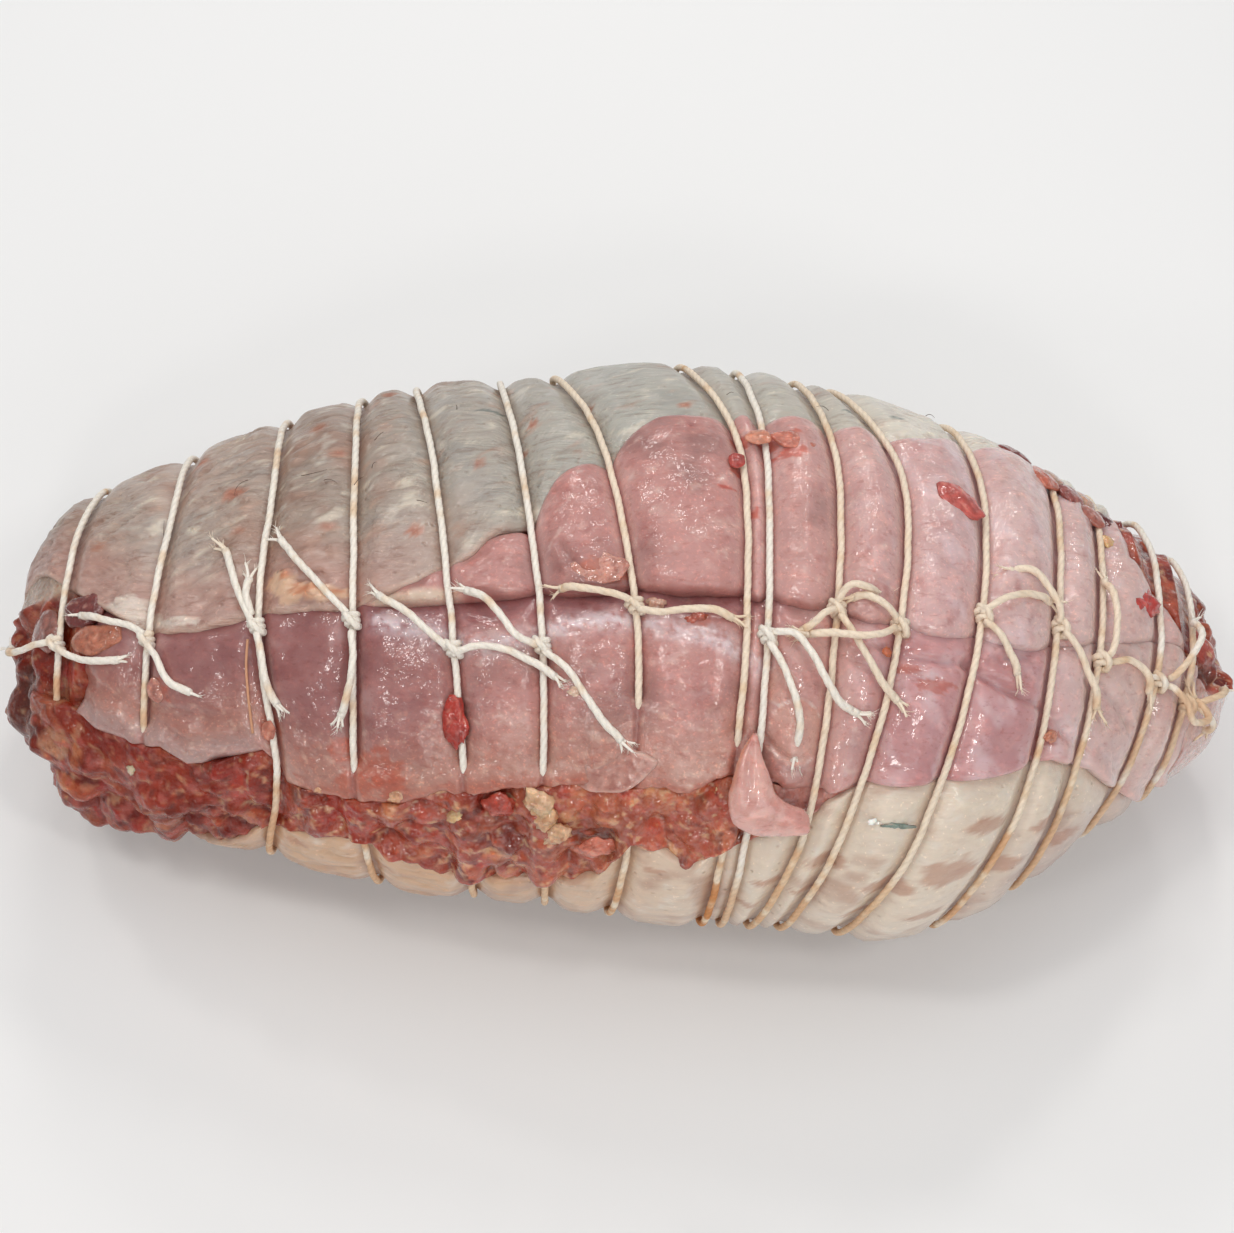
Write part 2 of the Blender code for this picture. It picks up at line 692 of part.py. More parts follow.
def stuffing_core():
    """Mince from pole to pole, out in the open at both ends and in the gap over the front skin."""
    shell = Shell()
    window = [between(WINDOW_FOOT, WINDOW_TOP, s) for s in WINDOW_SHARES]
    core = core_lines()
    low, high = ends_of(END_GAP)
    layer_high = ends_of()[1]

    def window_points(t, a):
        front, foot = edges(t)[2:]
        width = (front - foot - WINDOW_CLOSED_DEGREES) / WINDOW_CLOSED_DEGREES
        near_end = np.array([float(u > (layer_high(v) + high(v)) / 2) for u, v in zip(t, a)])
        share = np.maximum(np.clip(width, 0, 1), near_end)[..., None]
        return outer("stuffing", t, a) * share + inner(t, a, CORE_SHARE) * (1 - share)

    rows = []
    for angle_of in window:
        turns, angles = line_turns(FINE, angle_of, low, high)
        rows.append((shell.add(window_points(turns, angles)), turns))
    inside = []
    drawn = [window[-1]] + core + [window[0]]
    for angle_of, rings in zip(drawn, fine_edges(len(drawn))):
        turns, angles = line_turns(rings, angle_of, low, high)
        inside.append((shell.add(inner(turns, angles, CORE_SHARE)), turns))
    surface_of(shell, rows)
    surface_of(shell, inside)
    shell.strip(rows[-1][0], inside[0][0], rows[-1][1], inside[0][1])
    shell.strip(rows[0][0], inside[-1][0], rows[0][1], inside[-1][1])
    for side in (0, -1):
        open_end(shell, side, window, core, rows, inside)
    return shell


def open_end(shell, side, window, core, rows, inside):
    """Dome of mince past the end of the wrapped layers, with the step down to the core."""
    sign = -1 if side == 0 else 1
    rims = [line[0][side] for line in rows]
    turns = [line[1][side] for line in rows]
    for line, angle_of in zip(inside[1:-1], core):
        t = np.array([line[1][side]])
        rims += shell.add(outer("stuffing", t, angle_of(t)))
        turns.append(line[1][side])
    ring_out = rims[len(window) - 1 :] + [rims[0]]
    ring_in = across(inside, side)
    for a, b, c, d in zip(ring_out, ring_out[1:], ring_in[1:], ring_in):
        shell.faces.append((a, b, c, d))
    lines = []
    pole = 0.0 if side == 0 else float(LAST_TURN)
    for angle_of, rim, turn in zip(window + core, rims, turns):
        if side == 0:
            beyond = rings_on_line(FINE, angle_of, DOME_RINGS[-1], turn)[::-1]
        else:
            beyond = rings_on_line(FINE, angle_of, turn, LAST_TURN - DOME_RINGS[-1])
        beyond = np.array(beyond + [pole - sign * s for s in DOME_RINGS[::-1]])
        points = shell.add(outer("stuffing", beyond, np.array([float(angle_of(t)) for t in beyond])))
        lines.append(([rim] + points, sign * np.concatenate([[turn], beyond])))
    surface_of(shell, lines + lines[:1])
    last = [line[0][-1] for line in lines]
    y, z = centre(np.array(LEFT_TIP if side == 0 else RIGHT_TIP))
    tip = np.mean([shell.points[i][0] for i in last]) + sign * POLE_BULGE
    shell.fan(last, shell.add([[tip, float(y), float(z)]])[0])


def tube(points, ups, radius, sides, closed):
    """Tube along a line of points, with its first side turned towards the given directions."""
    shell = Shell()
    count = len(points)
    rows = []
    for n in range(count):
        before = points[n - 1] if closed or n else points[n]
        after = points[(n + 1) % count] if closed or n < count - 1 else points[n]
        along = (after - before) / np.linalg.norm(after - before)
        side = np.cross(along, ups[n])
        side /= np.linalg.norm(side)
        up = np.cross(side, along)
        turn = 2 * np.pi * np.arange(sides) / sides
        size = radius[n] if np.ndim(radius) else radius
        rows.append(
            shell.add(points[n] + size * (np.cos(turn)[:, None] * up + np.sin(turn)[:, None] * side))
        )
    shell.bands(rows + rows[:1] if closed else rows)
    if not closed:
        shell.faces.append(tuple(rows[0]))
        shell.faces.append(tuple(rows[-1]))
    return shell


def loop_angles(t):
    """Angles at which the layers hold their lines on this turn, so a string follows the grooves."""
    t = np.array(float(t))
    lines = [between(SKIN_FOOT, SKIN_TOP, s) for s in np.linspace(0, 1, SKIN_LINES)]
    lines += [between(LOBE_TOP, LOBE_FOOT, s) for s in LOBE_SHARES[1:-1]]
    lines += [between(FRONT_TOP, FRONT_FOOT, s) for s in FRONT_SHARES]
    lines += [between(WINDOW_FOOT, WINDOW_TOP, s) for s in WINDOW_LOOP_SHARES]
    if not OPEN_END_TURNS[0] < t < OPEN_END_TURNS[1]:
        lines += core_lines() + [between(WINDOW_FOOT, WINDOW_TOP, s) for s in WINDOW_SHARES]
    angles = sorted({round(float(line(t)) % 360, 3) for line in lines})
    kept = [angles[0]]
    for angle in angles[1:]:
        if angle - kept[-1] > LEAST_LOOP_STEP:
            kept.append(angle)
    return np.array(kept)


def string_points(k, angles):
    x = station(np.full(len(angles), float(k)), angles)
    rise = groove_floor(x, angles) + STRING_RISE
    points = form(x, angles) + normal(x, angles) * rise[:, None]
    return points, normal(x, angles)


def tail_points(k, reach_x, reach_down, bow, lift):
    """Line of a loose end from the knot outwards over the meat."""
    knot_angle = float(KNOT_ANGLES[k - 1])
    x0 = float(station(float(k), knot_angle))
    girth = float(spline(STATIONS, HALF_WIDTHS, x0)) * TAIL_GIRTH
    length = np.hypot(reach_x, reach_down)
    shares = np.linspace(0, 1, TAIL_POINTS)
    across_bow = np.array([-reach_down, reach_x]) / length
    points, ups = [], []
    for s in shares:
        side = bow * np.sin(np.pi * s)
        dx = reach_x * s + across_bow[0] * side
        down = reach_down * s + across_bow[1] * side
        x = np.array(x0 + dx)
        angle = np.array(knot_angle - np.degrees(down / girth))
        up = normal(x, angle)
        arch = np.sqrt(np.sin(np.pi * min(1.0, s * TAIL_FALL)))
        points.append(form(x, angle) + up * (TAIL_RISE + (TAIL_ARCH + lift) * arch))
        ups.append(up)
    return np.array(points), np.array(ups)


def knot_lump(k):
    """Knot drawn tight, a rounded lump a little longer along the string."""
    angle = np.array([float(KNOT_ANGLES[k - 1])])
    points, ups = string_points(k, angle)
    up = ups[0]
    along = string_points(k, angle + 2)[0][0] - string_points(k, angle - 2)[0][0]
    along /= np.linalg.norm(along)
    side = np.cross(along, up)
    middle = points[0] + up * KNOT_LIFT
    half = along * KNOT_RADIUS * KNOT_LENGTH
    turn = 2 * np.pi * np.arange(KNOT_SIDES) / KNOT_SIDES
    around = np.cos(turn)[:, None] * up * KNOT_FLATNESS + np.sin(turn)[:, None] * side
    shell = Shell()
    rows = []
    for n in range(1, KNOT_RINGS):
        polar = np.pi * n / KNOT_RINGS
        rows.append(shell.add(middle + half * np.cos(polar) + KNOT_RADIUS * np.sin(polar) * around))
    shell.fan(rows[0], shell.add([middle + half])[0])
    shell.fan(rows[-1], shell.add([middle - half])[0])
    shell.bands(rows)
    return shell


def flap_piece():
    """Curled tongue of meat lying over the edge of the front panel."""
    shell = Shell()
    rows = []
    turn = 2 * np.pi * np.arange(FLAP_SIDES)[:, None] / FLAP_SIDES
    for left, right, thick in FLAP_ACROSS:
        (angle, x), (far_angle, far_x) = np.array(left, float), np.array(right, float)
        near_point, far_point = form(x, angle), form(far_x, far_angle)
        up = normal((x + far_x) / 2, (angle + far_angle) / 2)
        middle = (near_point + far_point) / 2 + up * (FLAP_LIFT + thick * FLAP_THICK_SHARE)
        side = (near_point - far_point) / 2
        rows.append(shell.add(middle + np.cos(turn) * side + thick * np.sin(turn) * up))
    shell.bands(rows)
    shell.fan(rows[0], shell.add([np.mean([shell.points[i] for i in rows[0]], axis=0)])[0])
    shell.fan(rows[-1], shell.add([np.mean([shell.points[i] for i in rows[-1]], axis=0)])[0])
    return shell


def material(name, colour, roughness, metallic=0.0):
    made = bpy.data.materials.new(name)
    made.use_nodes = True
    shader = made.node_tree.nodes["Principled BSDF"]
    shader.inputs["Base Color"].default_value = (*colour, 1.0)
    shader.inputs["Roughness"].default_value = roughness
    shader.inputs["Metallic"].default_value = metallic
    made.diffuse_color = (*colour, 1.0)
    return made


def join_pieces(name, shells, collection, shift):
    """Union of the loop, the knot and the tails of one string."""
    base = shells[0].make(name, shift)
    collection.objects.link(base)
    for n, shell in enumerate(shells[1:]):
        piece = shell.make(f"{name}_piece_{n}", shift)
        collection.objects.link(piece)
        union = base.modifiers.new("Union", "BOOLEAN")
        union.operation = "UNION"
        union.solver = "MANIFOLD"
        union.object = piece
        bpy.context.view_layer.objects.active = base
        bpy.ops.object.modifier_apply(modifier=union.name)
        bpy.data.objects.remove(piece)
    return base


def main():
    for obj in list(bpy.data.objects):
        bpy.data.objects.remove(obj)
    roast = bpy.data.collections.new("stuffed_chicken_roast")
    bpy.context.scene.collection.children.link(roast)

    layers = {
        "skin": (skin_layer(), (0.62, 0.50, 0.40), 0.38),
        "meat_back": (back_layer(), (0.58, 0.27, 0.24), 0.28),
        "meat_front": (front_layer(), (0.60, 0.32, 0.28), 0.28),
        "stuffing": (stuffing_core(), (0.42, 0.10, 0.06), 0.34),
        "flap": (flap_piece(), (0.66, 0.36, 0.31), 0.28),
    }
    points = np.concatenate([np.array(layer[0].points) for layer in layers.values()])
    middle = (points.min(axis=0) + points.max(axis=0)) / 2
    shift = (-middle[0], -middle[1], 0.0)
    for name, (shell, colour, roughness) in layers.items():
        obj = shell.make(name, shift)
        obj.data.materials.append(material(name, colour, roughness))
        roast.objects.link(obj)

    twine = material("twine", (0.80, 0.72, 0.60), 0.85)
    for k in range(1, STRING_COUNT + 1):
        angles = loop_angles(k)
        path, ups = string_points(k, angles)
        shells = [tube(path, ups, STRING_RADIUS, STRING_SIDES, True)]
        if k != KNOTLESS:
            shells.append(knot_lump(k))
            for tail in TAILS[k]:
                line, tail_ups = tail_points(k, *tail)
                shells.append(tube(line, tail_ups, STRING_RADIUS, TAIL_SIDES, False))
        obj = join_pieces(f"string_{k:02d}", shells, roast, shift)
        obj.data.materials.clear()
        obj.data.materials.append(twine)


main()
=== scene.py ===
"""Raw stuffed chicken roast: fine surfaces, twine, materials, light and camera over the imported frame.

The same form as the part's: a point is named by its turn number t (strings are 1 to 16) and its
angle round the roll in degrees (0 faces the front, 90 is the top). Millimetres until a mesh is made.
"""

import bpy
import numpy as np
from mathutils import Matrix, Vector


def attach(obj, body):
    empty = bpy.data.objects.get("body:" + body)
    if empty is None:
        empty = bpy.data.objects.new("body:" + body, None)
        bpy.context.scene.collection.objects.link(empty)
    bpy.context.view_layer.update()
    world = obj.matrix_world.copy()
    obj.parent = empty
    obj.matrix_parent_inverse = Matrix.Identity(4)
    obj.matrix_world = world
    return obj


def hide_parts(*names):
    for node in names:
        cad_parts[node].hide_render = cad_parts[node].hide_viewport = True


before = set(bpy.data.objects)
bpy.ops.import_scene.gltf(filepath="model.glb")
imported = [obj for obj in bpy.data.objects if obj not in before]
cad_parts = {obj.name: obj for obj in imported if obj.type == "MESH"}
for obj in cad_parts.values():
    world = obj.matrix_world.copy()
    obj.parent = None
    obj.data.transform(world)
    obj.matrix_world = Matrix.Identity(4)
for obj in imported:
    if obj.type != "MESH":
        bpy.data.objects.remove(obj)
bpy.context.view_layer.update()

MM = 0.001
PLACE = np.array([-1.613, -0.356, 0.0])

# Rolled form, as in the part
LEFT_TIP = -141.5
RIGHT_TIP = 143.0
LEFT_ROUNDING = 22.0
RIGHT_ROUNDING = 24.0
STATIONS = (
    -141.5, -125.0, -105.0, -80.0, -50.0, -20.0, 10.0, 40.0, 65.0, 90.0, 110.0, 125.0, 143.0,
)
HALF_WIDTHS = (31.0, 36.0, 43.0, 51.0, 59.0, 62.0, 66.0, 65.0, 62.0, 52.0, 39.5, 32.0, 27.0)
SIDE_SHIFTS = (6.5, 5.3, 3.8, 4.2, 3.4, 2.5, 2.0, -1.0, -4.5, -2.5, 1.0, 2.5, -1.0)
HEIGHT_TO_WIDTH = 0.78
CENTRE_HEIGHT = 48.0
CENTRE_SAG = 4.0
LEFT_DROOP = 8.0
RIGHT_DROOP = 12.0
HALF_LENGTH = 140.0
SECTION_POWER = 0.94
TABLE_STEPS = 720
NORMAL_STEP = 0.4
NORMAL_DEGREES = 1.0
FAR = 1e3
STRING_COUNT = 16
LAST_TURN = STRING_COUNT + 1
PATH_ANGLES = (-10.0, 30.0, 72.0, 105.0, 145.0)
STRING_PATHS = (
    (-124.0, -124.5, -124.0, -123.0, -120.5),
    (-102.0, -103.0, -102.0, -99.5, -99.5),
    (-78.0, -73.0, -77.0, -76.0, -77.0),
    (-54.0, -55.5, -56.0, -57.5, -59.5),
    (-32.0, -32.0, -35.0, -40.0, -46.5),
    (-16.0, -15.5, -16.0, -21.0, -27.0),
    (-1.0, 3.0, 4.0, -2.5, -14.0),
    (19.5, 23.0, 27.0, 27.0, 15.5),
    (23.5, 27.5, 31.5, 32.5, 28.0),
    (30.5, 39.5, 45.5, 48.0, 42.0),
    (37.5, 47.5, 58.5, 62.5, 51.0),
    (50.5, 63.5, 76.0, 80.5, 77.0),
    (72.5, 86.0, 94.5, 98.5, 99.0),
    (90.0, 98.5, 106.0, 109.0, 110.0),
    (107.0, 115.0, 121.5, 123.0, 122.0),
    (121.0, 125.5, 130.5, 132.0, 131.0),
)
KNOT_ANGLES = (67, 68, 69, 70, 64, 65, 73, 0, 69, 76, 75, 79, 77, 67, 58, 47)
KNOTLESS = 8

# Edges of the layers as an angle at each station
SKIN_EDGE = (
    (-141, 112), (-132, 104), (-125, 92), (-114, 82), (-102, 72), (-90, 71), (-76, 75), (-58, 75),
    (-49, 77), (-40, 81), (-31, 85), (-19, 91), (-12, 97), (-4, 102), (9, 110), (27, 116),
    (49, 118), (63, 120), (77, 128), (89, 132), (100, 134), (112, 132), (143, 130),
)
SEAM = (
    (-141, 70), (-125, 75), (-114, 79), (-102, 71), (-76, 73), (-46, 73), (-18, 76), (30, 77),
    (57, 75), (72, 74), (90, 71), (110, 72), (125, 74), (143, 74),
)
FRONT_EDGE = (
    (-141, 46), (-122, 44), (-114, 36), (-99, 33), (-93, 28), (-81, 33), (-76, 35), (-71, 26),
    (-57, 26), (-46, 26), (-37, 31), (-27, 31), (-16, 34), (7, 36), (15, 35), (23, 40),
    (34, 38), (44, 38), (52, 42), (69, 43), (93, 42), (103, 32), (109, 18), (118, -4), (143, -20),
)
FRONT_SKIN_EDGE = (
    (-141, -30), (-110, -29), (-96, -20), (-86, -7), (-77, 7), (-62, 12), (-53, 12), (-46, 8),
    (-37, 1), (-25, 1), (-14, 4), (-5, 8), (3, 21), (9, 21), (15, 16), (23, 22), (34, 29),
    (44, 35), (52, 40), (69, 42), (93, 41), (103, 31), (109, 17), (118, -5), (143, -21),
)
SLIT_DEGREES = 1.8
EDGE_SAMPLES = 3401
EDGE_PASSES = 8
# Turn number where the wrapped layers stop, by angle
LEFT_END = (
    (-90, 0.5), (-40, 0.6), (-25, 0.9), (20, 1.22), (76, 1.25), (112, 0.45), (200, 0.45),
    (270, 0.5),
)
RIGHT_END = (
    (-90, 15.9), (-30, 16.3), (70, 16.35), (85, 15.8), (105, 14.6), (135, 14.45), (200, 15.3),
    (270, 15.9),
)
EDGE_GAP = 0.6
END_SINK = 3.1
END_SINK_REACH = 8.0

# Strings and grooves
STRING_RISE = 1.5
GROOVE_DEPTH = 1.8
UNDERSIDE_GROOVE_DEPTH = 2.5
UNDERSIDE_HEIGHT = 3.0
GROOVE_SLOPE = 0.68
UNDERSIDE_SLOPE = 0.8
MINCE_GROOVE = 0.6
GROOVE_ROUND = 1.1

# Outer relief of each layer
SKIN_LEVEL = 0.3
SKIN_PUFF = 0.6
FULL_PUFF_WIDTH = 16.0
LOBE_PUFF = 0.6
FRONT_PUFF = 0.5
LOBE_STATIONS = ((-120, -0.6), (-50, -0.2), (-20, 0.7), (0, 1.0), (90, 1.0), (110, 0.7), (143, 0.4))
STUFFING_LEVEL = -2.4
LUMP_COUNT = 190
LUMP_RADII = (4.0, 9.0)
LUMP_HEIGHTS = (0.25, 0.75)
LUMP_SEED = 11
LUMP_ENDS = (-110, 108)
LUMP_ANGLES = (-40, 130)


def spline(xs, ys, x):
    """Cubic curve through a row of points."""
    xs = np.asarray(xs, float)
    ys = np.asarray(ys, float)
    slope = np.gradient(ys, xs)
    i = np.clip(np.searchsorted(xs, x) - 1, 0, len(xs) - 2)
    step = xs[i + 1] - xs[i]
    t = np.clip((x - xs[i]) / step, 0, 1)
    start = (2 * t**3 - 3 * t**2 + 1) * ys[i] + (t**3 - 2 * t**2 + t) * step * slope[i]
    end = (3 * t**2 - 2 * t**3) * ys[i + 1] + (t**3 - t**2) * step * slope[i + 1]
    return start + end


def table(pairs, x):
    """Straight lines between pairs of values."""
    xs, ys = np.array(pairs, float).T
    return np.interp(x, xs, ys)


def smooth(x, low, high):
    """0 below low, 1 above high, eased between."""
    t = np.clip((x - low) / (high - low), 0, 1)
    return t * t * (3 - 2 * t)


def turn_stations():
    """Station of every string and both tips at each angle."""
    angles = np.arange(TABLE_STEPS) * 360 / TABLE_STEPS - 90
    rows = [np.full(TABLE_STEPS, LEFT_TIP)]
    for path in STRING_PATHS:
        foot, crown = path[0], path[-1]
        back = (2 * crown + foot) / 3
        bottom = (crown + 2 * foot) / 3
        around = np.array(PATH_ANGLES + (215.0, 270.0))
        values = np.array(path + (back, bottom))
        xs = np.concatenate([around - 360, around, around + 360])
        rows.append(spline(xs, np.tile(values, 3), angles))
    rows.append(np.full(TABLE_STEPS, RIGHT_TIP))
    return np.array(rows)


TURNS = turn_stations()


def turn_row(k, angle):
    """Station of string number k at an angle."""
    place = (np.asarray(angle, float) + 90) % 360 * TABLE_STEPS / 360
    low = place.astype(int) % TABLE_STEPS
    share = place - np.floor(place)
    return TURNS[k, low] * (1 - share) + TURNS[k, (low + 1) % TABLE_STEPS] * share


def station(t, angle):
    """Station of a turn number at an angle."""
    t = np.asarray(t, float)
    k = np.clip(np.floor(t).astype(int), 0, LAST_TURN - 1)
    return turn_row(k, angle) * (k + 1 - t) + turn_row(k + 1, angle) * (t - k)


def rounding(share):
    """Quarter circle from 0 to 1."""
    share = np.clip(share, 0, 1)
    return np.sqrt(1 - (1 - share) ** 2)


def centre(x):
    """Middle of the section: its place across and its height."""
    reach = np.abs(x) / HALF_LENGTH
    droop = np.where(x > 0, RIGHT_DROOP, LEFT_DROOP)
    return spline(STATIONS, SIDE_SHIFTS, x), CENTRE_HEIGHT - CENTRE_SAG * reach**2 - droop * reach**3


def form(x, angle):
    """Point of the rolled form."""
    x = np.asarray(x, float)
    ends = rounding((x - LEFT_TIP) / LEFT_ROUNDING) * rounding((RIGHT_TIP - x) / RIGHT_ROUNDING)
    half = spline(STATIONS, HALF_WIDTHS, x) * ends
    middle, height = centre(x)
    across = np.cos(np.radians(angle))
    upward = np.sin(np.radians(angle))
    y = middle - half * np.sign(across) * np.abs(across) ** SECTION_POWER
    z = height + HEIGHT_TO_WIDTH * half * np.sign(upward) * np.abs(upward) ** SECTION_POWER
    return np.stack([x + 0 * y, y, np.maximum(z, 0)], -1)


def normal(x, angle):
    """Outward direction of the rolled form."""
    ahead, behind = np.minimum(x + NORMAL_STEP, RIGHT_TIP), np.maximum(x - NORMAL_STEP, LEFT_TIP)
    along = form(ahead, angle) - form(behind, angle)
    around = form(x, angle + NORMAL_DEGREES) - form(x, angle - NORMAL_DEGREES)
    n = np.cross(around, along)
    length = np.linalg.norm(n, axis=-1, keepdims=True)
    return -n / np.maximum(length, 1e-9)


def underside(x, angle):
    """1 on the table, 0 above the flattened part."""
    return np.clip(1 - form(x, angle)[..., 2] / UNDERSIDE_HEIGHT, 0, 1)


def groove_floor(x, angle):
    """Height of a groove's floor, deeper on the table."""
    return -GROOVE_DEPTH - (UNDERSIDE_GROOVE_DEPTH - GROOVE_DEPTH) * underside(x, angle)


def string_distance(t, angle):
    """Distance to the nearest string, width of the turn and share of the way across it."""
    t = np.asarray(t, float)
    k = np.clip(np.floor(t).astype(int), 0, LAST_TURN - 1)
    f = t - k
    width = turn_row(k + 1, angle) - turn_row(k, angle)
    before = np.where(k == 0, FAR, f * width)
    after = np.where(k == LAST_TURN - 1, FAR, (1 - f) * width)
    return np.minimum(before, after), width, f


def lumps():
    """Places, sizes and heights of the large lumps in the mince."""
    draw = np.random.default_rng(LUMP_SEED)
    x = draw.uniform(LEFT_TIP, RIGHT_TIP, LUMP_COUNT)
    x[: LUMP_COUNT // 3] = draw.uniform(LEFT_TIP, LUMP_ENDS[0], LUMP_COUNT // 3)
    x[-LUMP_COUNT // 6 :] = draw.uniform(LUMP_ENDS[1], RIGHT_TIP, len(x[-LUMP_COUNT // 6 :]))
    angle = draw.uniform(*LUMP_ANGLES, LUMP_COUNT)
    radius = draw.uniform(*LUMP_RADII, LUMP_COUNT)
    return form(x, angle), radius, draw.uniform(*LUMP_HEIGHTS, LUMP_COUNT)


LUMPS = lumps()


def lump_height(x, angle):
    points = form(x, angle)
    best = np.zeros(points.shape[:-1])
    for place, radius, height in zip(*LUMPS):
        share = 1 - np.sum((points - place) ** 2, axis=-1) / radius**2
        best = np.maximum(best, height * radius * np.clip(share, 0, 1))
    return best


def turn_puff(t, angle):
    """Swelling of a turn between its two strings, up to 1 in the middle of a wide one."""
    _, width, f = string_distance(t, angle)
    return np.sin(np.pi * f) * np.minimum(1, width / FULL_PUFF_WIDTH)


def edge(pairs, t):
    """Angle of an edge at a turn number, when it is known by station."""
    angle = np.full(np.shape(t), np.mean([pair[1] for pair in pairs]))
    for _ in range(EDGE_PASSES):
        angle = table(pairs, station(t, angle))
    return angle


def edge_rows():
    """Angles of the four edges over the turns."""
    t = np.linspace(0, LAST_TURN, EDGE_SAMPLES)
    skin = edge(SKIN_EDGE, t)
    seam = np.minimum(edge(SEAM, t), skin - SLIT_DEGREES)
    front = edge(FRONT_EDGE, t)
    front_skin = np.minimum(edge(FRONT_SKIN_EDGE, t), front - SLIT_DEGREES)
    return t, (skin, seam, front, front_skin)


EDGE_ROWS = edge_rows()


def edges(t):
    return [np.interp(t, EDGE_ROWS[0], row) for row in EDGE_ROWS[1]]


def end_turn(pairs, angle):
    """Turn number where an end opens, at an angle."""
    return table(pairs, (np.asarray(angle, float) + 90) % 360 - 90)


def turn_width(t, angle):
    """Millimetres along X for one turn number."""
    after = station(np.minimum(t + 0.5, LAST_TURN), angle)
    return after - station(np.maximum(t - 0.5, 0.0), angle)


# Noise in space
CORNERS = [(i, j, k) for i in (0, 1) for j in (0, 1) for k in (0, 1)]
SEED_SHIFT = 17.31
NOISE_PRIMES = (374761393, 668265263, 2147483629)
NOISE_MIXER = 1274126177
NOISE_GAIN = 1.5
OCTAVE_STEP = 2.03
OCTAVE_SHARE = 0.5


def noise(points, seed):
    """Gradient noise, about -1 to 1, one value a point."""
    points = np.asarray(points, float) + seed * SEED_SHIFT
    cell = np.floor(points).astype(np.int64)
    part = points - cell
    ease = part**3 * (part * (part * 6 - 15) + 10)
    total = np.zeros(points.shape[:-1])
    for corner in CORNERS:
        at = cell + np.array(corner)
        mixed = sum(at[..., axis] * prime for axis, prime in enumerate(NOISE_PRIMES))
        mixed = (mixed ^ (mixed >> 13)) * NOISE_MIXER & 0xFFFFFFFF
        mixed = mixed ^ (mixed >> 16)
        away = part - np.array(corner)
        turn = (mixed & 0xFFF) / 4096 * 2 * np.pi
        tilt = ((mixed >> 12) & 0xFFF) / 2048 - 1
        flat = np.sqrt(1 - tilt**2)
        dot = away[..., 0] * np.cos(turn) * flat + away[..., 1] * np.sin(turn) * flat
        dot = dot + away[..., 2] * tilt
        weight = np.ones(points.shape[:-1])
        for axis in range(3):
            weight = weight * (ease[..., axis] if corner[axis] else 1 - ease[..., axis])
        total += weight * dot
    return total * NOISE_GAIN


def fractal(points, size, seed, octaves, stretch=(1.0, 1.0, 1.0), lean=0.0):
    """Noise of a size in millimetres with finer noise over it; lean turns its grain about Z."""
    points = np.asarray(points, float)
    if lean:
        c, s = np.cos(np.radians(lean)), np.sin(np.radians(lean))
        x, y = points[..., 0], points[..., 1]
        points = np.stack([c * x + s * y, c * y - s * x, points[..., 2]], -1)
    points = points / (size * np.array(stretch))
    total, share, whole = 0.0, 1.0, 0.0
    for n in range(octaves):
        total = total + share * noise(points * OCTAVE_STEP**n, seed + n)
        whole += share
        share *= OCTAVE_SHARE
    return total / whole


# Colour
def rgb(r, g, b):
    """Linear colour from the values of a display."""
    c = np.array([r, g, b]) / 255
    return np.where(c <= 0.04045, c / 12.92, ((c + 0.055) / 1.055) ** 2.4)


def mix(a, b, share):
    """From one colour to another by a share."""
    share = np.clip(np.asarray(share), 0, 1)[..., None]
    return a * (1 - share) + b * share


def unit(vector):
    """The vector at length 1."""
    return vector / np.linalg.norm(vector)


def with_alpha(colour, alpha):
    """Colour with a fourth value, which a material reads."""
    return np.concatenate([colour, alpha[..., None]], -1)


def beside(points, place, along, around):
    """Offsets of points from a place, and their squares along X and round in sizes of a spot."""
    x, angle = (np.array(float(value)) for value in place)
    middle = form(x, angle)
    near = unit(form(x, angle + 2) - middle)
    away = points - middle
    return away, (away[..., 0] / along) ** 2, (away @ near / around) ** 2


def spot(points, place, along, around, ragged, seed):
    """Mask of a ragged spot on the surface, 1 inside, sized in millimetres along X and round."""
    away, square_along, square_around = beside(points, place, along, around)
    rough = ragged * fractal(points, min(along, around) * 0.7, seed, 2)
    reach = np.sqrt(square_along + square_around)
    deep = np.abs(np.sum(away**2, -1)) < (3 * max(along, around) + 6) ** 2
    return smooth(1.25 - reach + rough, 0.15, 0.45) * deep


def spots(points, rows, ragged, seed, step=0, size=(1.0, 1.0)):
    """Masks of a table of spots, one after another, each with the next seed."""
    for n, (place, along, around) in enumerate(rows):
        yield spot(points, place, along * size[0], around * size[1], ragged, seed + step * n)


# Meshes
def link(obj):
    """Puts an object into the scene."""
    bpy.context.scene.collection.objects.link(obj)


def make_mesh(name, points, faces, paint):
    """Smooth mesh from millimetres, with its paint, that rides on the body."""
    mesh = bpy.data.meshes.new(name)
    points = (np.asarray(points) + PLACE) * MM
    mesh.from_pydata(points.tolist(), [], faces)
    if paint.shape[1] == 3:
        paint = np.column_stack([paint, np.ones(len(paint))])
    layer = mesh.color_attributes.new("paint", "FLOAT_COLOR", "POINT")
    layer.data.foreach_set("color", paint.ravel())
    mesh.polygons.foreach_set("use_smooth", [True] * len(mesh.polygons))
    mesh.update()
    obj = bpy.data.objects.new(name, mesh)
    link(obj)
    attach(obj, "root")
    return obj


def used_only(points, faces, paint):
    """Drops points that no face uses."""
    used = np.unique(faces)
    index = np.full(len(points), -1)
    index[used] = np.arange(len(used))
    return points[used], index[faces].tolist(), paint[used]


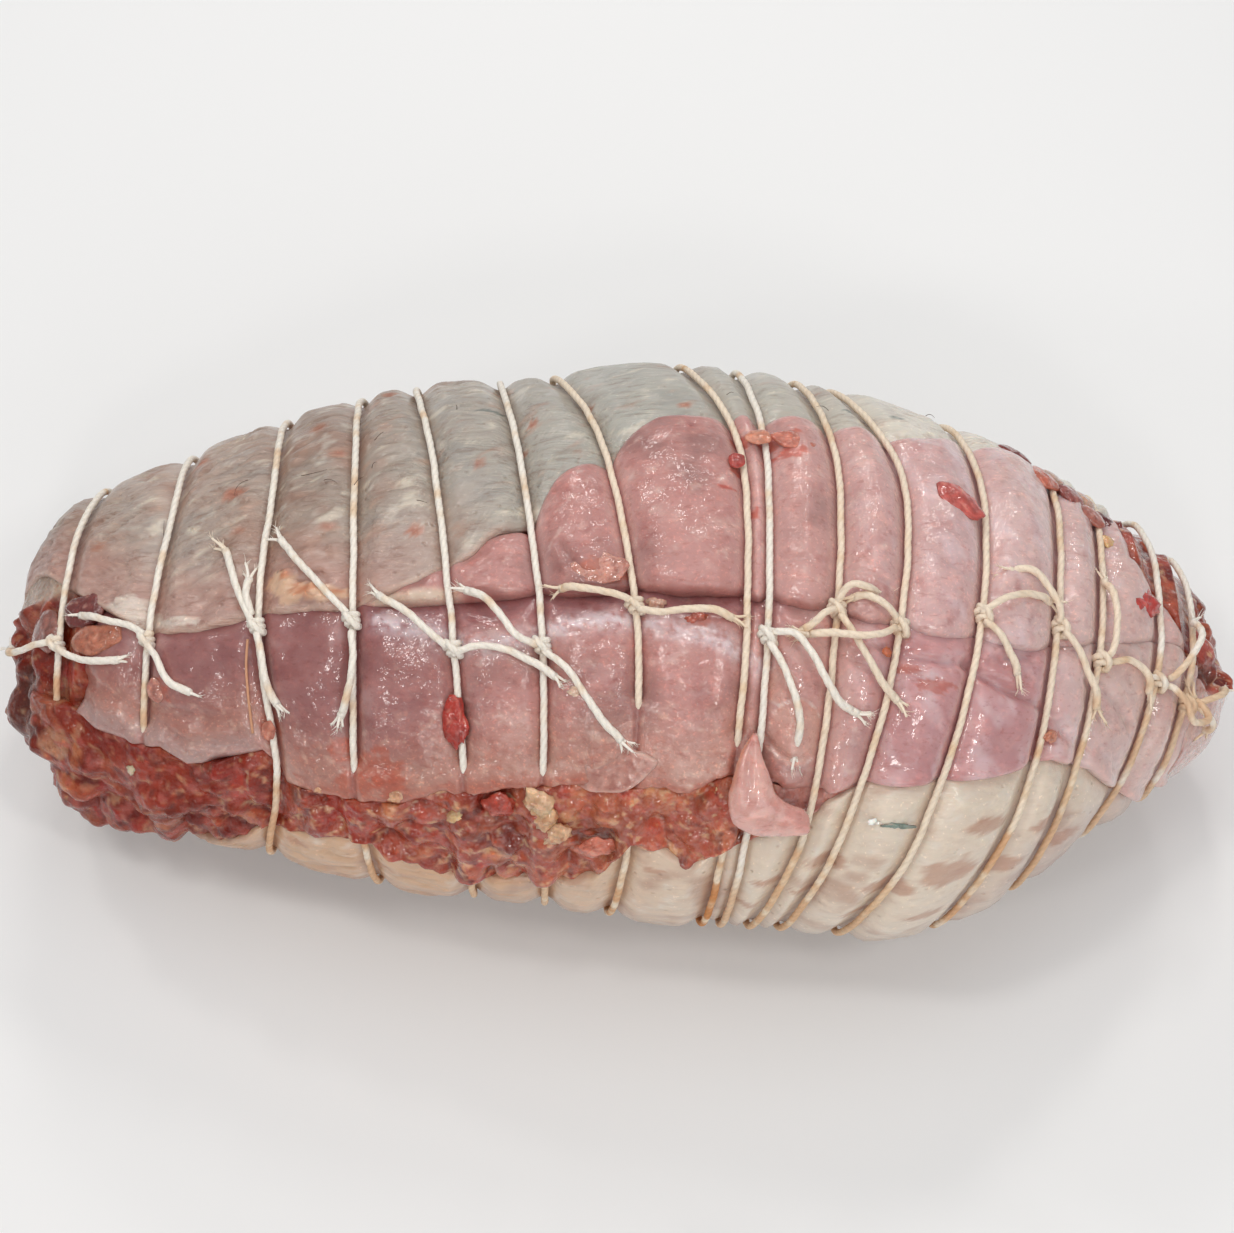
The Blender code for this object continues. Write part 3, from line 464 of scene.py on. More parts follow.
def sheet_quads(rows, cols):
    """Point numbers of a grid and the quads between them."""
    index = np.arange(rows * cols).reshape(rows, cols)
    return index, np.stack([index[:-1, :-1], index[:-1, 1:], index[1:, 1:], index[1:, :-1]], -1)


def ring_quads(rows, cols, flipped=False):
    """Point numbers of a grid closed round, the same one column on, and the quads between."""
    index = np.arange(rows * cols).reshape(rows, cols)
    after = np.roll(index, -1, axis=1)
    corners = [index[:-1], after[:-1], after[1:], index[1:]]
    if flipped:
        corners = [index[:-1], index[1:], after[1:], after[:-1]]
    return index, after, np.stack(corners, -1).reshape(-1, 4)


CROWDING = 0.55
WIDTH_ANGLE = 75.0
LEAST_COLUMNS = 4
DROPS = (0.5, 1.2, 2.4, 4.0)
END_DEPTH = 5.0
END_LIP = 2.2
SKIN_END_SINK = 0.4
# Turn number where the skin stops at the left, closing over the top of the end
SKIN_LEFT_END = (
    (-90, 0.5), (-40, 0.6), (-25, 0.9), (20, 1.22), (76, 1.25), (90, 0.55), (104, 0.12),
    (200, 0.12), (270, 0.5),
)
GROOVE_STEEPER = 1.12
BURY_LEVEL = 1.5
BULGE = (5.0, 2.9)
BULGE_SLOPE = 0.10
BURY_CREASE = 0.8
PUCKER = 0.32
PUCKER_REACH = 4.5
CLAMP_PASSES = 10
GIRTH_SHARE = 0.89
WINDOW_GIRTH = 0.0155
WINDOW_SHUT = 2.3
WINDOW_OPEN = 4.5


def columns(step):
    """Turn numbers of the grid, closer together beside the strings."""
    turns = []
    for k in range(LAST_TURN):
        width = float(turn_row(k + 1, WIDTH_ANGLE) - turn_row(k, WIDTH_ANGLE))
        count = max(LEAST_COLUMNS, int(round(width / step)))
        u = np.arange(count) / count
        turns += list(k + CROWDING * (0.5 - 0.5 * np.cos(np.pi * u)) + (1 - CROWDING) * u)
    return np.array(turns + [float(LAST_TURN)])


def end_clamp(turns, angle_of, left_end):
    """Turn numbers held between the open ends, with the angle and the way past the end."""
    held = turns
    for _ in range(CLAMP_PASSES):
        angle = angle_of(held)
        low, high = end_turn(left_end, angle), end_turn(RIGHT_END, angle)
        held = 0.5 * held + 0.5 * np.clip(turns, low, high)
    angle = angle_of(held)
    low, high = end_turn(left_end, angle), end_turn(RIGHT_END, angle)
    held = np.clip(turns, low, high)
    width = turn_width(held, angle)
    past = np.maximum(np.maximum(low - turns, turns - high), 0) * width
    within = np.minimum(held - low, high - held) * width
    return held, angle, past, within


def grooved(height, t, angle, x, blend, deeper=0.0, bulge=None):
    """The groove of each string pressed into a height, rounded at its floor and shoulders."""
    distance = string_distance(t, angle)[0]
    slope = GROOVE_SLOPE + (UNDERSIDE_SLOPE - GROOVE_SLOPE) * underside(x, angle)
    rounded = np.sqrt(distance**2 + GROOVE_ROUND**2) - GROOVE_ROUND
    wall = slope * rounded * GROOVE_STEEPER
    if bulge is not None:
        wall = bulge[0] * (1 - np.exp(-rounded / bulge[1])) + BULGE_SLOPE * rounded
    press = groove_floor(x, angle) - deeper + wall
    gap = np.clip(0.5 + 0.5 * (press - height) / blend, 0, 1)
    return press * (1 - gap) + height * gap - blend * gap * (1 - gap)


def pucker(points, distance, seed):
    """Small folds that run out from under each string."""
    wave = fractal(points, 2.6, seed, 2, (3.5, 1.0, 1.0))
    return PUCKER * wave * np.exp(-distance / PUCKER_REACH) * smooth(distance, 0.4, 2.0)


def wobble(t, size, seed):
    """Unevenness of an edge along the roll."""
    return fractal(np.stack([t * 18.0, 0 * t, 0 * t + 5.0], -1), size, seed, 3)


def rounded_edge(inside, lip):
    """Fall of a surface towards an edge rounded with a lip."""
    rim = np.clip(lip - inside, 0, lip)
    return lip - np.sqrt(np.maximum(lip**2 - rim**2, 0))


def layer_mesh(
    name, foot, top, step, shares, blend, lips, height_of, paint,
    buried=None, left_end=LEFT_END, bulge=None,
):
    """Fine open-backed surface of a layer with its edges turned in."""
    turns = columns(step)
    count = len(DROPS)
    share = np.concatenate([np.zeros(count), shares, np.ones(count)])[:, None]
    side_drop = np.concatenate([DROPS[::-1], np.zeros(len(shares)), DROPS])[:, None]
    t0 = np.tile(turns, (len(share), 1))

    def angle_of(t):
        return foot(t) * (1 - share) + top(t) * share

    held, angle, past, within = end_clamp(t0, angle_of, left_end)
    x = station(held, angle)
    base = form(x, angle)
    up = normal(x, angle)
    reach = np.abs(top(held) - foot(held))
    girth = spline(STATIONS, HALF_WIDTHS, x) * GIRTH_SHARE * np.pi / 180
    from_foot = share * reach * girth
    from_top = (1 - share) * reach * girth
    distance = string_distance(held, angle)[0]
    height = height_of(base, held, angle, x, distance, from_foot, from_top)
    end_sink = END_SINK if left_end is LEFT_END else np.where(x < 0, SKIN_END_SINK, END_SINK)
    height = height - end_sink * np.clip(1 - within / END_SINK_REACH, 0, 1) ** 2
    bare = height
    height = grooved(height, held, angle, x, blend, 0.0, bulge)
    if buried is not None:
        cover = np.maximum(bare, BURY_LEVEL) - BURY_CREASE * np.exp(-((distance / 0.8) ** 2))
        height = height + (cover - height) * buried(held, from_foot)
    lip = lips[0]
    if buried is not None:
        lip = lip * (1 - 0.75 * buried(held, from_foot) * smooth(-distance, -4.0, -2.0))
    fall = np.maximum(rounded_edge(from_foot, lip), rounded_edge(from_top, lips[1]))
    fall = np.maximum(fall, rounded_edge(within, END_LIP))
    height = height - fall - side_drop - np.minimum(past, END_DEPTH)
    points = base + up * height[..., None]
    points[..., 2] = np.maximum(points[..., 2], 0.0)
    colours = paint(base, x, angle, distance, from_foot, from_top, height)
    quads = sheet_quads(len(share), len(turns))[1]
    alive = past < END_DEPTH
    keep = alive[:-1, :-1] | alive[:-1, 1:] | alive[1:, 1:] | alive[1:, :-1]
    quads = quads[keep][:, ::-1]
    points, faces, colours = used_only(
        points.reshape(-1, 3), quads, colours.reshape(-1, colours.shape[-1])
    )
    return make_mesh(name, points, faces, colours)


def zone_colour(zones, x):
    """Colour that changes along the roll."""
    places = [z for z, _ in zones]
    return np.stack([np.interp(x, places, [c[n] for _, c in zones]) for n in range(3)], -1)


def window_reach(t):
    """Millimetres between the front panel's foot and the front skin's edge."""
    front, foot = edges(t)[2:]
    return (front - foot) * spline(STATIONS, HALF_WIDTHS, station(t, foot)) * WINDOW_GIRTH


def window_closed(t):
    """1 where the panel and the front skin meet, 0 where mince shows between them."""
    return smooth(-window_reach(t), -WINDOW_OPEN, -WINDOW_SHUT)


# Skin
SKIN_STEP = 0.95
# Share of the way round and width of a row there
SKIN_BANDS = ((0.0, 0.8), (0.22, 1.0), (0.34, 1.9), (0.68, 1.7), (0.80, 0.75), (1.0, 0.62))
SKIN_ROWS = 305
SKIN_BLEND = 1.1
SKIN_LIPS = (1.2, 1.0)
SKIN_LAP = 3.0
STRIP_LAP = 1.9
SKIN_TUCK = 2.4
SKIN_UNDER = 3.0
SKIN_SINK = 2.3
SKIN_SINK_REACH = 6.0
DIMPLE = 0.35
SKIN_ZONES = (
    (-140, rgb(150, 131, 119)), (-100, rgb(190, 168, 155)), (-72, rgb(160, 139, 126)),
    (-40, rgb(172, 161, 150)), (0, rgb(176, 173, 164)), (48, rgb(194, 187, 175)),
    (66, rgb(234, 227, 214)), (143, rgb(226, 216, 200)),
)
# Spots here and below: place, half sizes along X and round
SKIN_SPOTS = (
    ((-84.8, 106.2), 3.0, 1.9), ((-67.1, 125.8), 2.4, 1.7), ((-61.8, 112.8), 2.2, 1.2),
    ((-18.6, 116.0), 1.5, 1.2), ((-20.6, 108.0), 1.3, 1.0), ((-6.6, 121.5), 1.6, 1.4),
    ((-43.1, 89.2), 2.2, 1.6), ((-82.3, 93.5), 1.7, 1.0), ((-62.3, 91.5), 2.4, 0.9),
    ((15.1, 118.5), 2.0, 1.2), ((-116.0, 100.0), 2.8, 1.6), ((-30.0, 104.0), 1.6, 1.3),
    ((-95.0, 128.0), 2.6, 1.7), ((-52.0, 140.0), 2.2, 1.6), ((5.0, 150.0), 2.6, 1.8),
    ((38.0, 160.0), 2.2, 1.5), ((62.0, 150.0), 2.8, 1.7), ((-20.0, 170.0), 2.4, 1.6),
    ((-70.0, 175.0), 2.5, 2.0), ((20.0, 195.0), 2.7, 1.8), ((80.0, 180.0), 2.0, 1.4),
)
GREEN_MARKS = (((-28.3, 122.8), 3.4, 0.9), ((52.0, 128.0), 1.6, 0.8), ((62.5, 131.0), 1.4, 0.7))
FAT_LUMPS = (
    ((-72.3, 80.0), 3.6, 2.4), ((-67.8, 77.0), 5.2, 2.4), ((-61.5, 76.5), 4.4, 2.0),
)
FAT_TIPS = (((-107.5, 77.8), 5.0, 3.2), ((-103.0, 73.5), 4.0, 2.4), ((-95.0, 72.0), 5.0, 1.4))
FRONT_BLOTCHES = (
    ((-52.0, 0.0), 3.0, 1.6), ((-70.0, 4.0), 3.6, 1.4), ((8.0, 14.0), 3.2, 1.2),
    ((32.0, 12.0), 4.4, 1.7), ((44.0, 20.0), 5.2, 2.6), ((40.0, 9.0), 3.6, 1.5),
    ((58.0, 14.0), 6.4, 3.2), ((70.0, 18.0), 7.0, 4.4), ((66.0, 3.0), 4.8, 1.9),
    ((83.0, 12.0), 5.4, 2.6), ((92.0, 22.0), 4.2, 2.0), ((78.0, 30.0), 5.8, 2.2),
    ((28.0, 2.0), 3.4, 1.4), ((52.0, 2.0), 4.4, 1.7), ((98.0, 8.0), 4.6, 2.4),
)


def skin_height(p, t, angle, x, distance, from_foot, from_top):
    """Taut skin: folds along the roll, small follicle bumps, lumps of fat at its lower edge."""
    lengthwise = fractal(p, 2.2, 3, 3, (5.0, 1.0, 1.0), 14.0)
    fine = smooth(fractal(p, 14.0, 12, 2), -0.3, 0.3)
    soft = fractal(p, 17.0, 8, 2)
    bumps = fractal(p, 4.0, 21, 2, (1.5, 1.0, 1.0))
    folds = fractal(p, 6.0, 30, 2, (3.2, 1.0, 1.0), 12.0)
    height = 1.0 * soft + 0.30 * lengthwise * fine + 0.5 * np.clip(bumps - 0.15, 0, 1)
    height = height + 1.6 * pucker(p, distance, 5)
    height = height - 0.75 * np.exp(-((folds / 0.12) ** 2)) * smooth(-x, -30, 70)
    for mask in spots(p, FAT_LUMPS, 0.6, 40):
        height = height + 1.7 * mask
    for mask in spots(p, FAT_TIPS, 0.5, 43):
        height = height + 0.9 * mask
    for mask in spots(p, SKIN_SPOTS[:4], 0.3, 47, 0, (0.5, 0.5)):
        height = height - DIMPLE * mask
    height = height * (1 - 0.8 * underside(x, angle)) + (SKIN_LEVEL + SKIN_PUFF * turn_puff(t, angle))
    tucked = np.clip(1 - from_top / SKIN_SINK_REACH, 0, 1) ** 1.5 * smooth(x, -26, -12)
    closed = window_closed(t)
    under = np.clip(1 - from_foot / SKIN_SINK_REACH, 0, 1) ** 1.5 * closed
    return height - SKIN_SINK * np.maximum(tucked, under)


def skin_paint(p, x, angle, distance, from_foot, from_top, height):
    big = fractal(p, 20.0, 50, 3)
    middle = fractal(p, 7.0, 54, 3, (1.4, 1.0, 1.0), 10.0)
    streak = fractal(p, 1.7, 58, 3, (3.2, 1.0, 1.0), 14.0)
    dapple = fractal(p, 3.4, 62, 3, (1.3, 1.0, 1.0))
    flow = fractal(p, 3.0, 65, 3, (2.6, 1.0, 1.0), 28.0)
    patch = fractal(p, 3.0, 66, 2, (2.6, 1.0, 1.0), 18.0)
    colour = zone_colour(SKIN_ZONES, x)
    left = smooth(-x, 10, 70)
    brown = smooth(big + 0.7 * middle + 0.25 * left, 0.12, 0.62)
    colour = mix(colour, rgb(160, 126, 110), 0.8 * brown * (0.25 + 0.75 * left))
    colour = mix(colour, rgb(150, 147, 143), 0.45 * smooth(-big + 0.5 * flow, 0.10, 0.6))
    colour = mix(colour, rgb(216, 208, 196), 0.5 * smooth(dapple + 0.1 * middle, 0.20, 0.46))
    colour = mix(colour, rgb(136, 108, 96), 0.34 * smooth(0.7 * streak + 0.8 * middle, 0.15, 0.6))
    colour = mix(colour, rgb(205, 196, 186), 0.38 * smooth(-streak + 0.4 * flow, 0.22, 0.6))
    colour = mix(colour, rgb(224, 214, 196), 0.58 * smooth(patch, 0.24, 0.50))
    colour = mix(colour, rgb(188, 150, 130), 0.45 * smooth(-patch + 0.4 * middle, 0.26, 0.5))
    low_pink = smooth(-x, 20, 60) * smooth(-from_top, -19, -4)
    pink = mix(rgb(196, 158, 147), rgb(176, 132, 121), 1.6 * streak + 0.5)
    colour = mix(colour, pink, 0.8 * low_pink)
    front = smooth(-np.abs((angle + 180) % 360 - 180 - 10), -62, -48)
    cream = mix(rgb(208, 170, 138), rgb(224, 208, 190), smooth(x, -30, 40))
    cream = mix(cream, rgb(180, 142, 122), 0.7 * smooth(middle + 0.4 * big, 0.05, 0.5))
    cream = mix(cream, rgb(226, 216, 204), 0.55 * smooth(dapple - 0.3 * middle, 0.12, 0.45))
    cream = mix(cream, rgb(190, 164, 156), 0.6 * smooth(x + 14 * big, 62, 96) * smooth(-angle, -32, 0))
    colour = mix(colour, cream, front)
    for mask in spots(p, FRONT_BLOTCHES, 0.6, 70, 1, (0.85, 0.85)):
        colour = mix(colour, rgb(178, 124, 98), 0.62 * mask)
    # painted shade on the lower side as it turns under
    colour = mix(colour, rgb(140, 100, 88), 0.5 * smooth(-angle, 2, 26) * smooth(angle, -100, -60))
    whole = spots(p, SKIN_SPOTS, 0.5, 90, 1, (0.95, 1.05))
    cores = spots(p, SKIN_SPOTS, 0.5, 90, 1, (0.45, 0.5))
    for n, (mask, core) in enumerate(zip(whole, cores)):
        tone = rgb(178, 128, 106) if n % 3 else rgb(184, 112, 84)
        colour = mix(colour, tone, 0.66 * mask**1.5)
        colour = mix(colour, rgb(158, 88, 64), 0.5 * core)
    for mask in spots(p, GREEN_MARKS, 0.5, 120):
        colour = mix(colour, rgb(88, 100, 96), 0.8 * mask)
    fatty = mix(rgb(222, 184, 154), rgb(200, 130, 92), smooth(dapple + 0.5 * streak, 0.0, 0.45))
    for mask in spots(p, FAT_LUMPS, 0.6, 124):
        colour = mix(colour, fatty, 0.92 * mask)
    for mask in spots(p, FAT_TIPS, 0.5, 128):
        colour = mix(colour, rgb(222, 208, 196), 0.8 * mask)
    pale_edge = smooth(-from_top, -1.8, -0.3) * smooth(-x, 16, 30)
    colour = mix(colour, rgb(206, 176, 160), 0.6 * pale_edge)
    # painted shade in the groove beside each string
    shade = smooth(-distance, -2.6, -0.2)
    colour = mix(colour, colour * np.array([0.74, 0.63, 0.58]), 0.75 * shade)
    # painted shade where the skin dips deep under its neighbours
    sunk_shade = smooth(-height, 1.6, 3.6)
    colour = mix(colour, rgb(126, 62, 54), sunk_shade)
    return with_alpha(colour, 1 - 0.75 * front)


def skin_top(t):
    x = station(t, 78.0)
    lap = SKIN_LAP * smooth(-x, 50, 60) + STRIP_LAP * smooth(-x, 24, 32) * smooth(x, -60, -50)
    torn = 0.7 * wobble(t, 7.0, 17) * smooth(-x, 24, 32)
    return edges(t)[0] + EDGE_GAP - 360 - lap - SKIN_TUCK * smooth(x, -26, -10) + torn


def skin_foot(t):
    closed = window_closed(t)
    return edges(t)[3] - EDGE_GAP + 0.4 + SKIN_UNDER * closed + 1.3 * wobble(t, 6.0, 19) * (1 - closed)


# Meat
MEAT_STEP = 0.52
BACK_ROWS = 104
FRONT_ROWS = 94
LOBE_BLEND = 2.6
PANEL_BLEND = 2.4
LOBE_LIPS = (2.4, 2.6)
PANEL_LIPS = (1.8, 0.6)
LOBE_LAP = 2.6
LOBE_UNDER = 2.2
FRONT_TUCK = 2.6
FRONT_LAP = 0.8
GRAIN_LEAN = 48.0
PANEL_LEAN = -18.0
LOBE_RAMP = ((0.0, 1.6), (0.15, 2.2), (0.45, 2.7), (0.8, 2.4), (1.0, 1.3))
FRONT_RAMP = ((-0.07, -2.4), (0.0, -1.1), (0.12, 0.5), (0.5, 1.6), (0.85, 1.3), (1.0, 0.8))
LOBE_UNEVEN = 0.6
LOBE_FULLER = 1.3
SCALLOP = 3.4
FOOT_SCALLOP = 1.6
SEAM_SHADE = 1.7
SEAM_FILL = 1.3
RED_STAINS = (
    ((34.3, 110.5), 4.6, 2.4), ((27.9, 109.7), 3.0, 1.8), ((37.6, 106.5), 3.6, 1.6),
    ((25.9, 101.3), 1.8, 1.8), ((29.3, 92.5), 1.0, 1.4), ((23.1, 96.0), 2.4, 0.5),
)
ORANGE_STAINS = (
    ((-2.6, 79.6), 5.4, 2.6), ((17.4, 70.8), 2.6, 1.4), ((-74.1, 42.5), 2.4, 3.4),
    ((-75.3, 37.2), 1.8, 2.6), ((-98.8, 52.8), 2.4, 3.0), ((-49.8, 37.0), 4.4, 3.6),
    ((-47.8, 33.0), 3.6, 3.0), ((-55.0, 32.0), 4.0, 2.6), ((-58.0, 40.0), 2.4, 2.6),
    ((92.3, 48.5), 2.2, 1.6), ((60.0, 67.0), 3.0, 1.0), ((66.0, 64.0), 4.0, 1.6),
)
MEMBRANE = (
    (-50, 70.5), (-42, 68.5), (-30, 65.0), (-20, 66.5), (-12, 69.0), (3, 70.6), (14, 69.0),
    (24, 66.5), (31, 62.5),
)
CREASES = (
    # path of stations and angles, depth, width
    (((52, 71.5), (62, 69.5), (74, 69.0), (88, 69.8)), 1.3, 0.8),
    (((74, 68.5), (80, 64.0), (86, 60.0), (92, 55.5), (96, 49.0)), 2.2, 1.0),
    (((40, 71.0), (48, 67.5), (58, 66.5), (66, 65.0)), 0.9, 0.8),
    (((-118, 55), (-108, 49), (-98, 47), (-84, 44)), 0.9, 1.2),
    (((-96, 38), (-88, 37), (-80, 38)), 0.8, 0.9),
    (((102, 62), (108, 55), (112, 44)), 1.2, 1.0),
)
LOBE_SWELLS = (
    # place, half sizes along X and round, height
    ((37.0, 51.0), 6.0, 7.4, 3.8), ((33.5, 60.0), 3.6, 4.2, 2.0), ((88.0, 54.0), 8.0, 7.0, 1.4),
)
CREASE_SOFTNESS = 1.6
SECOND_CREASES = (
    (((33, 84), (46, 85), (58, 83)), 1.6, 0.9),
    (((-12, 85), (-8, 80), (0, 78)), 1.3, 0.9),
    (((64, 92), (72, 88), (77, 86)), 0.8, 0.8),
)
SWELL_CREASES = (
    (((30.4, 62.0), (31.6, 56.0), (30.6, 49.5)), 1.2, 0.8),
    (((31.0, 49.0), (35.0, 45.6), (40.5, 47.0)), 1.8, 0.9),
    (((33.0, 55.0), (37.0, 50.5), (40.0, 49.5)), 0.7, 0.7),
)
# How far up from the panel's foot the flesh has closed over each string
BURIED = {1: 3.0, 2: 5.5, 4: 9.5, 5: 7.5, 6: 5.0, 7: 20.0, 8: 9.0}
FLESH_ZONES = (
    (-140, rgb(170, 112, 106)), (-60, rgb(178, 120, 114)), (-20, rgb(190, 136, 130)),
    (20, rgb(194, 140, 134)), (45, rgb(204, 158, 152)), (72, rgb(212, 174, 172)),
    (95, rgb(218, 188, 184)), (143, rgb(206, 172, 164)),
)


LINE_REACH = 9.0
LINE_MARKS = 60


def line_distance(points, path):
    """Distance on the surface to a line through places of station and angle."""
    xs = np.linspace(path[0][0], path[-1][0], LINE_MARKS)
    marks = form(xs, spline(*np.transpose(path), xs))
    best = np.full(points.shape[:-1], np.inf)
    for mark in marks:
        best = np.minimum(best, np.sum((points - mark) ** 2, -1))
    return np.sqrt(best)


def near_line(points, path):
    """The distance to a line, worked out only near it."""
    flat = points.reshape(-1, 3)
    xs = [p[0] for p in path]
    close = (flat[:, 0] > min(xs) - LINE_REACH) & (flat[:, 0] < max(xs) + LINE_REACH)
    found = np.full(len(flat), FAR)
    found[close] = line_distance(flat[close], path)
    return found.reshape(points.shape[:-1])


def swell(points, place, along, around):
    """Dome over a place, 1 at its middle."""
    _, square_along, square_around = beside(points, place, along, around)
    return np.clip(1 - square_along - square_around, 0, 1)


def creased(relief, points, creases, softness=1.0):
    """The relief with creases pressed in: path, depth and width of each."""
    for path, depth, wide in creases:
        relief = relief - depth * np.exp(-((near_line(points, path) / (softness * wide)) ** 2))
    return relief


def back_height(p, t, angle, x, distance, from_foot, from_top):
    """Rounded lobes of the back meat, each a little different, with fibres that lean."""
    puff = turn_puff(t, angle)
    top, seam = table(SKIN_EDGE, x), table(SEAM, x)
    share = (top - angle) / np.maximum(top - seam, SLIT_DEGREES)
    rise = table(LOBE_STATIONS, x) * (1 - LOBE_PUFF + LOBE_PUFF * puff)
    height = table(LOBE_RAMP, share) * np.maximum(rise, 0.25) - 0.6 * smooth(-x, 20, 50)
    height = height * (1 - 0.3 * smooth(x, 48, 70))
    height = height + LOBE_FULLER * puff * (1 - 0.5 * smooth(x, 48, 70)) * smooth(x, -30, 0) + 0.5
    height = height - 1.8 * smooth(-from_top, -5.0, -1.5) * smooth(-x, 24, 34)
    lobe = np.floor(t)
    own = noise(np.stack([lobe * 3.7, 0 * lobe + 0.5, 0 * lobe], -1), 9)
    height = height + LOBE_UNEVEN * own * puff * 2
    fibres = fractal(p, 1.5, 200, 3, (3.0, 1.0, 1.0), GRAIN_LEAN)
    strands = fractal(p, 3.4, 214, 2, (2.4, 1.0, 1.0), GRAIN_LEAN)
    soft = fractal(p, 11.0, 204, 2)
    lumpy = fractal(p, 4.6, 208, 2)
    relief = 1.5 * soft + 0.34 * lumpy + 0.10 * fibres + 0.28 * strands
    relief = relief + 1.6 * pucker(p, distance, 211)
    relief = creased(relief, p, SECOND_CREASES)
    return height + relief * smooth(from_foot, 0, 2) * smooth(from_top, 0, 2)


def flesh(p, x, seed, lean):
    """Pink of the meat, uneven in large and small patches with paler strands."""
    big = fractal(p, 15.0, seed, 3)
    streak = fractal(p, 1.8, seed + 4, 3, (2.4, 1.0, 1.0), lean)
    dapple = fractal(p, 3.4, seed + 8, 3)
    colour = zone_colour(FLESH_ZONES, x)
    colour = colour * (1 - 0.34 * smooth(big, -0.05, 0.45) * (1 - 0.7 * smooth(x, 36, 60)))[..., None]
    colour = mix(colour, rgb(214, 178, 170), 0.55 * smooth(-big + 0.5 * dapple, 0.12, 0.5))
    colour = mix(colour, rgb(222, 192, 182), 0.50 * smooth(streak + 0.3 * dapple, 0.20, 0.55))
    return mix(colour, rgb(158, 92, 88), 0.42 * smooth(-streak + 0.3 * dapple, 0.20, 0.6))


def back_paint(p, x, angle, distance, from_foot, from_top, height):
    colour = flesh(p, x, 230, GRAIN_LEAN)
    pale = fractal(p, 2.4, 245, 2, (1.6, 1.0, 1.0))
    colour = mix(colour, rgb(206, 166, 164), 0.4 * smooth(-distance, -5, -1.5))
    for mask in spots(p, RED_STAINS, 0.9, 250, 1):
        colour = mix(colour, mix(rgb(196, 92, 66), rgb(178, 60, 44), pale + 0.5), 0.72 * mask)
    for mask in spots(p, ORANGE_STAINS[:2], 0.8, 260, 1):
        colour = mix(colour, rgb(184, 104, 82), 0.7 * mask)
    strip = smooth(-np.abs(x + 43), -12, -7) * smooth(-from_foot, -3.6, -1.6)
    colour = mix(colour, rgb(220, 202, 182), 0.85 * strip)
    # painted shade in the groove right beside each string
    groove_shade = smooth(-distance, -1.2, 0)
    colour = mix(colour, rgb(160, 98, 92), 0.7 * groove_shade)
    # darker, redder rim along the lobe's edges: partly blood at the cut, partly painted shade in the
    # slit
    edge_blood_and_shade = smooth(-np.minimum(from_foot, from_top), -1.2, -0.1)
    colour = mix(colour, rgb(156, 92, 86), 0.5 * edge_blood_and_shade * (1 - 0.7 * smooth(x, 44, 60)))
    # painted shade where the lobe sinks deep into a slit or an end
    colour = mix(colour, rgb(120, 54, 50), smooth(-height, 2.0, 4.5))
    colour = pearly_film_sheen(colour, p, x)
    return with_alpha(colour, 0.45 + 0.4 * smooth(pale, -0.2, 0.4))


def pearly_film_sheen(colour, p, x):
    """Pale silvery film in patches that run round the right half, partly its own pale colour and partly
    a painted sheen.
    """
    patch = fractal(p, 4.6, 270, 3, (1.0, 2.0, 1.7), 20.0)
    share = 0.46 * smooth(patch, -0.05, 0.45) * smooth(x, 40, 66) * smooth(-x, -126, -112)
    return mix(colour, rgb(226, 206, 210), share)


def front_height(p, t, angle, x, distance, from_foot, from_top):
    """Front panel: soft translucent flesh, grainy towards the mince, smooth on the breast."""
    puff = turn_puff(t, angle)
    seam, front = table(SEAM, x), table(FRONT_EDGE, x)
    share = (seam - angle) / np.maximum(seam - front, 1)
    height = table(FRONT_RAMP, share)
    height = height * np.where(height > 0, 1 - FRONT_PUFF + FRONT_PUFF * puff, 1)
    under_lobes = smooth(-from_top, -9.0, -1.5) * smooth(x, -52, -34) * smooth(-x, -44, -26)
    height = height - SEAM_SHADE * under_lobes
    height = height + SEAM_FILL * smooth(x, 44, 60) * smooth(-from_top, -7.0, -1.0)
    closed = window_closed(t)
    height = height + 2.1 * closed * smooth(-from_foot, -5.0, -0.3)
    soft = fractal(p, 10.0, 304, 2)
    lumpy = fractal(p, 4.4, 306, 2)
    fibres = fractal(p, 1.7, 300, 3, (3.0, 1.0, 1.0), -20.0)
    grain = fractal(p, 1.5, 308, 2)
    breast = breast_mask(x)
    relief = (1.1 * soft + 0.28 * lumpy + 0.10 * fibres) * (1 - 0.55 * breast)
    relief = relief + 0.22 * grain * grainy(x, from_foot)
    relief = relief + 1.4 * pucker(p, distance, 311) * (1 - 0.5 * breast)
    relief = relief + 0.55 * np.exp(-((near_line(p, MEMBRANE) / 1.5) ** 2))
    relief = creased(relief, p, CREASES, CREASE_SOFTNESS)
    for place, along, around, rise in LOBE_SWELLS:
        relief = relief + rise * swell(p, place, along, around)
    relief = creased(relief, p, SWELL_CREASES)
    return height + relief * smooth(from_foot, 0, 2.5) * smooth(from_top, 0, 2)


def buried_strings(t, from_foot):
    """Share of a string's groove that the flesh has closed over, near the panel's foot."""
    nearest = np.rint(t).astype(int)
    reach = np.zeros(np.shape(t))
    for k, length in BURIED.items():
        reach = np.where(nearest == k, length, reach)
    return smooth(reach - from_foot, -1.0, 3.6) * smooth(reach, 0.5, 1.0)


def breast_mask(x):
    """The smooth breast at the right of the panel."""
    return smooth(x, 45, 60) * smooth(-x, -100, -88)


def grainy(x, from_foot):
    """Where the panel's flesh is granular: the middle turns, more so towards its foot."""
    middle = smooth(x, -66, -40) * smooth(-x, -36, -24)
    return np.clip(0.35 * middle + smooth(-from_foot, -24, -6) * smooth(-x, -45, -28), 0, 1)


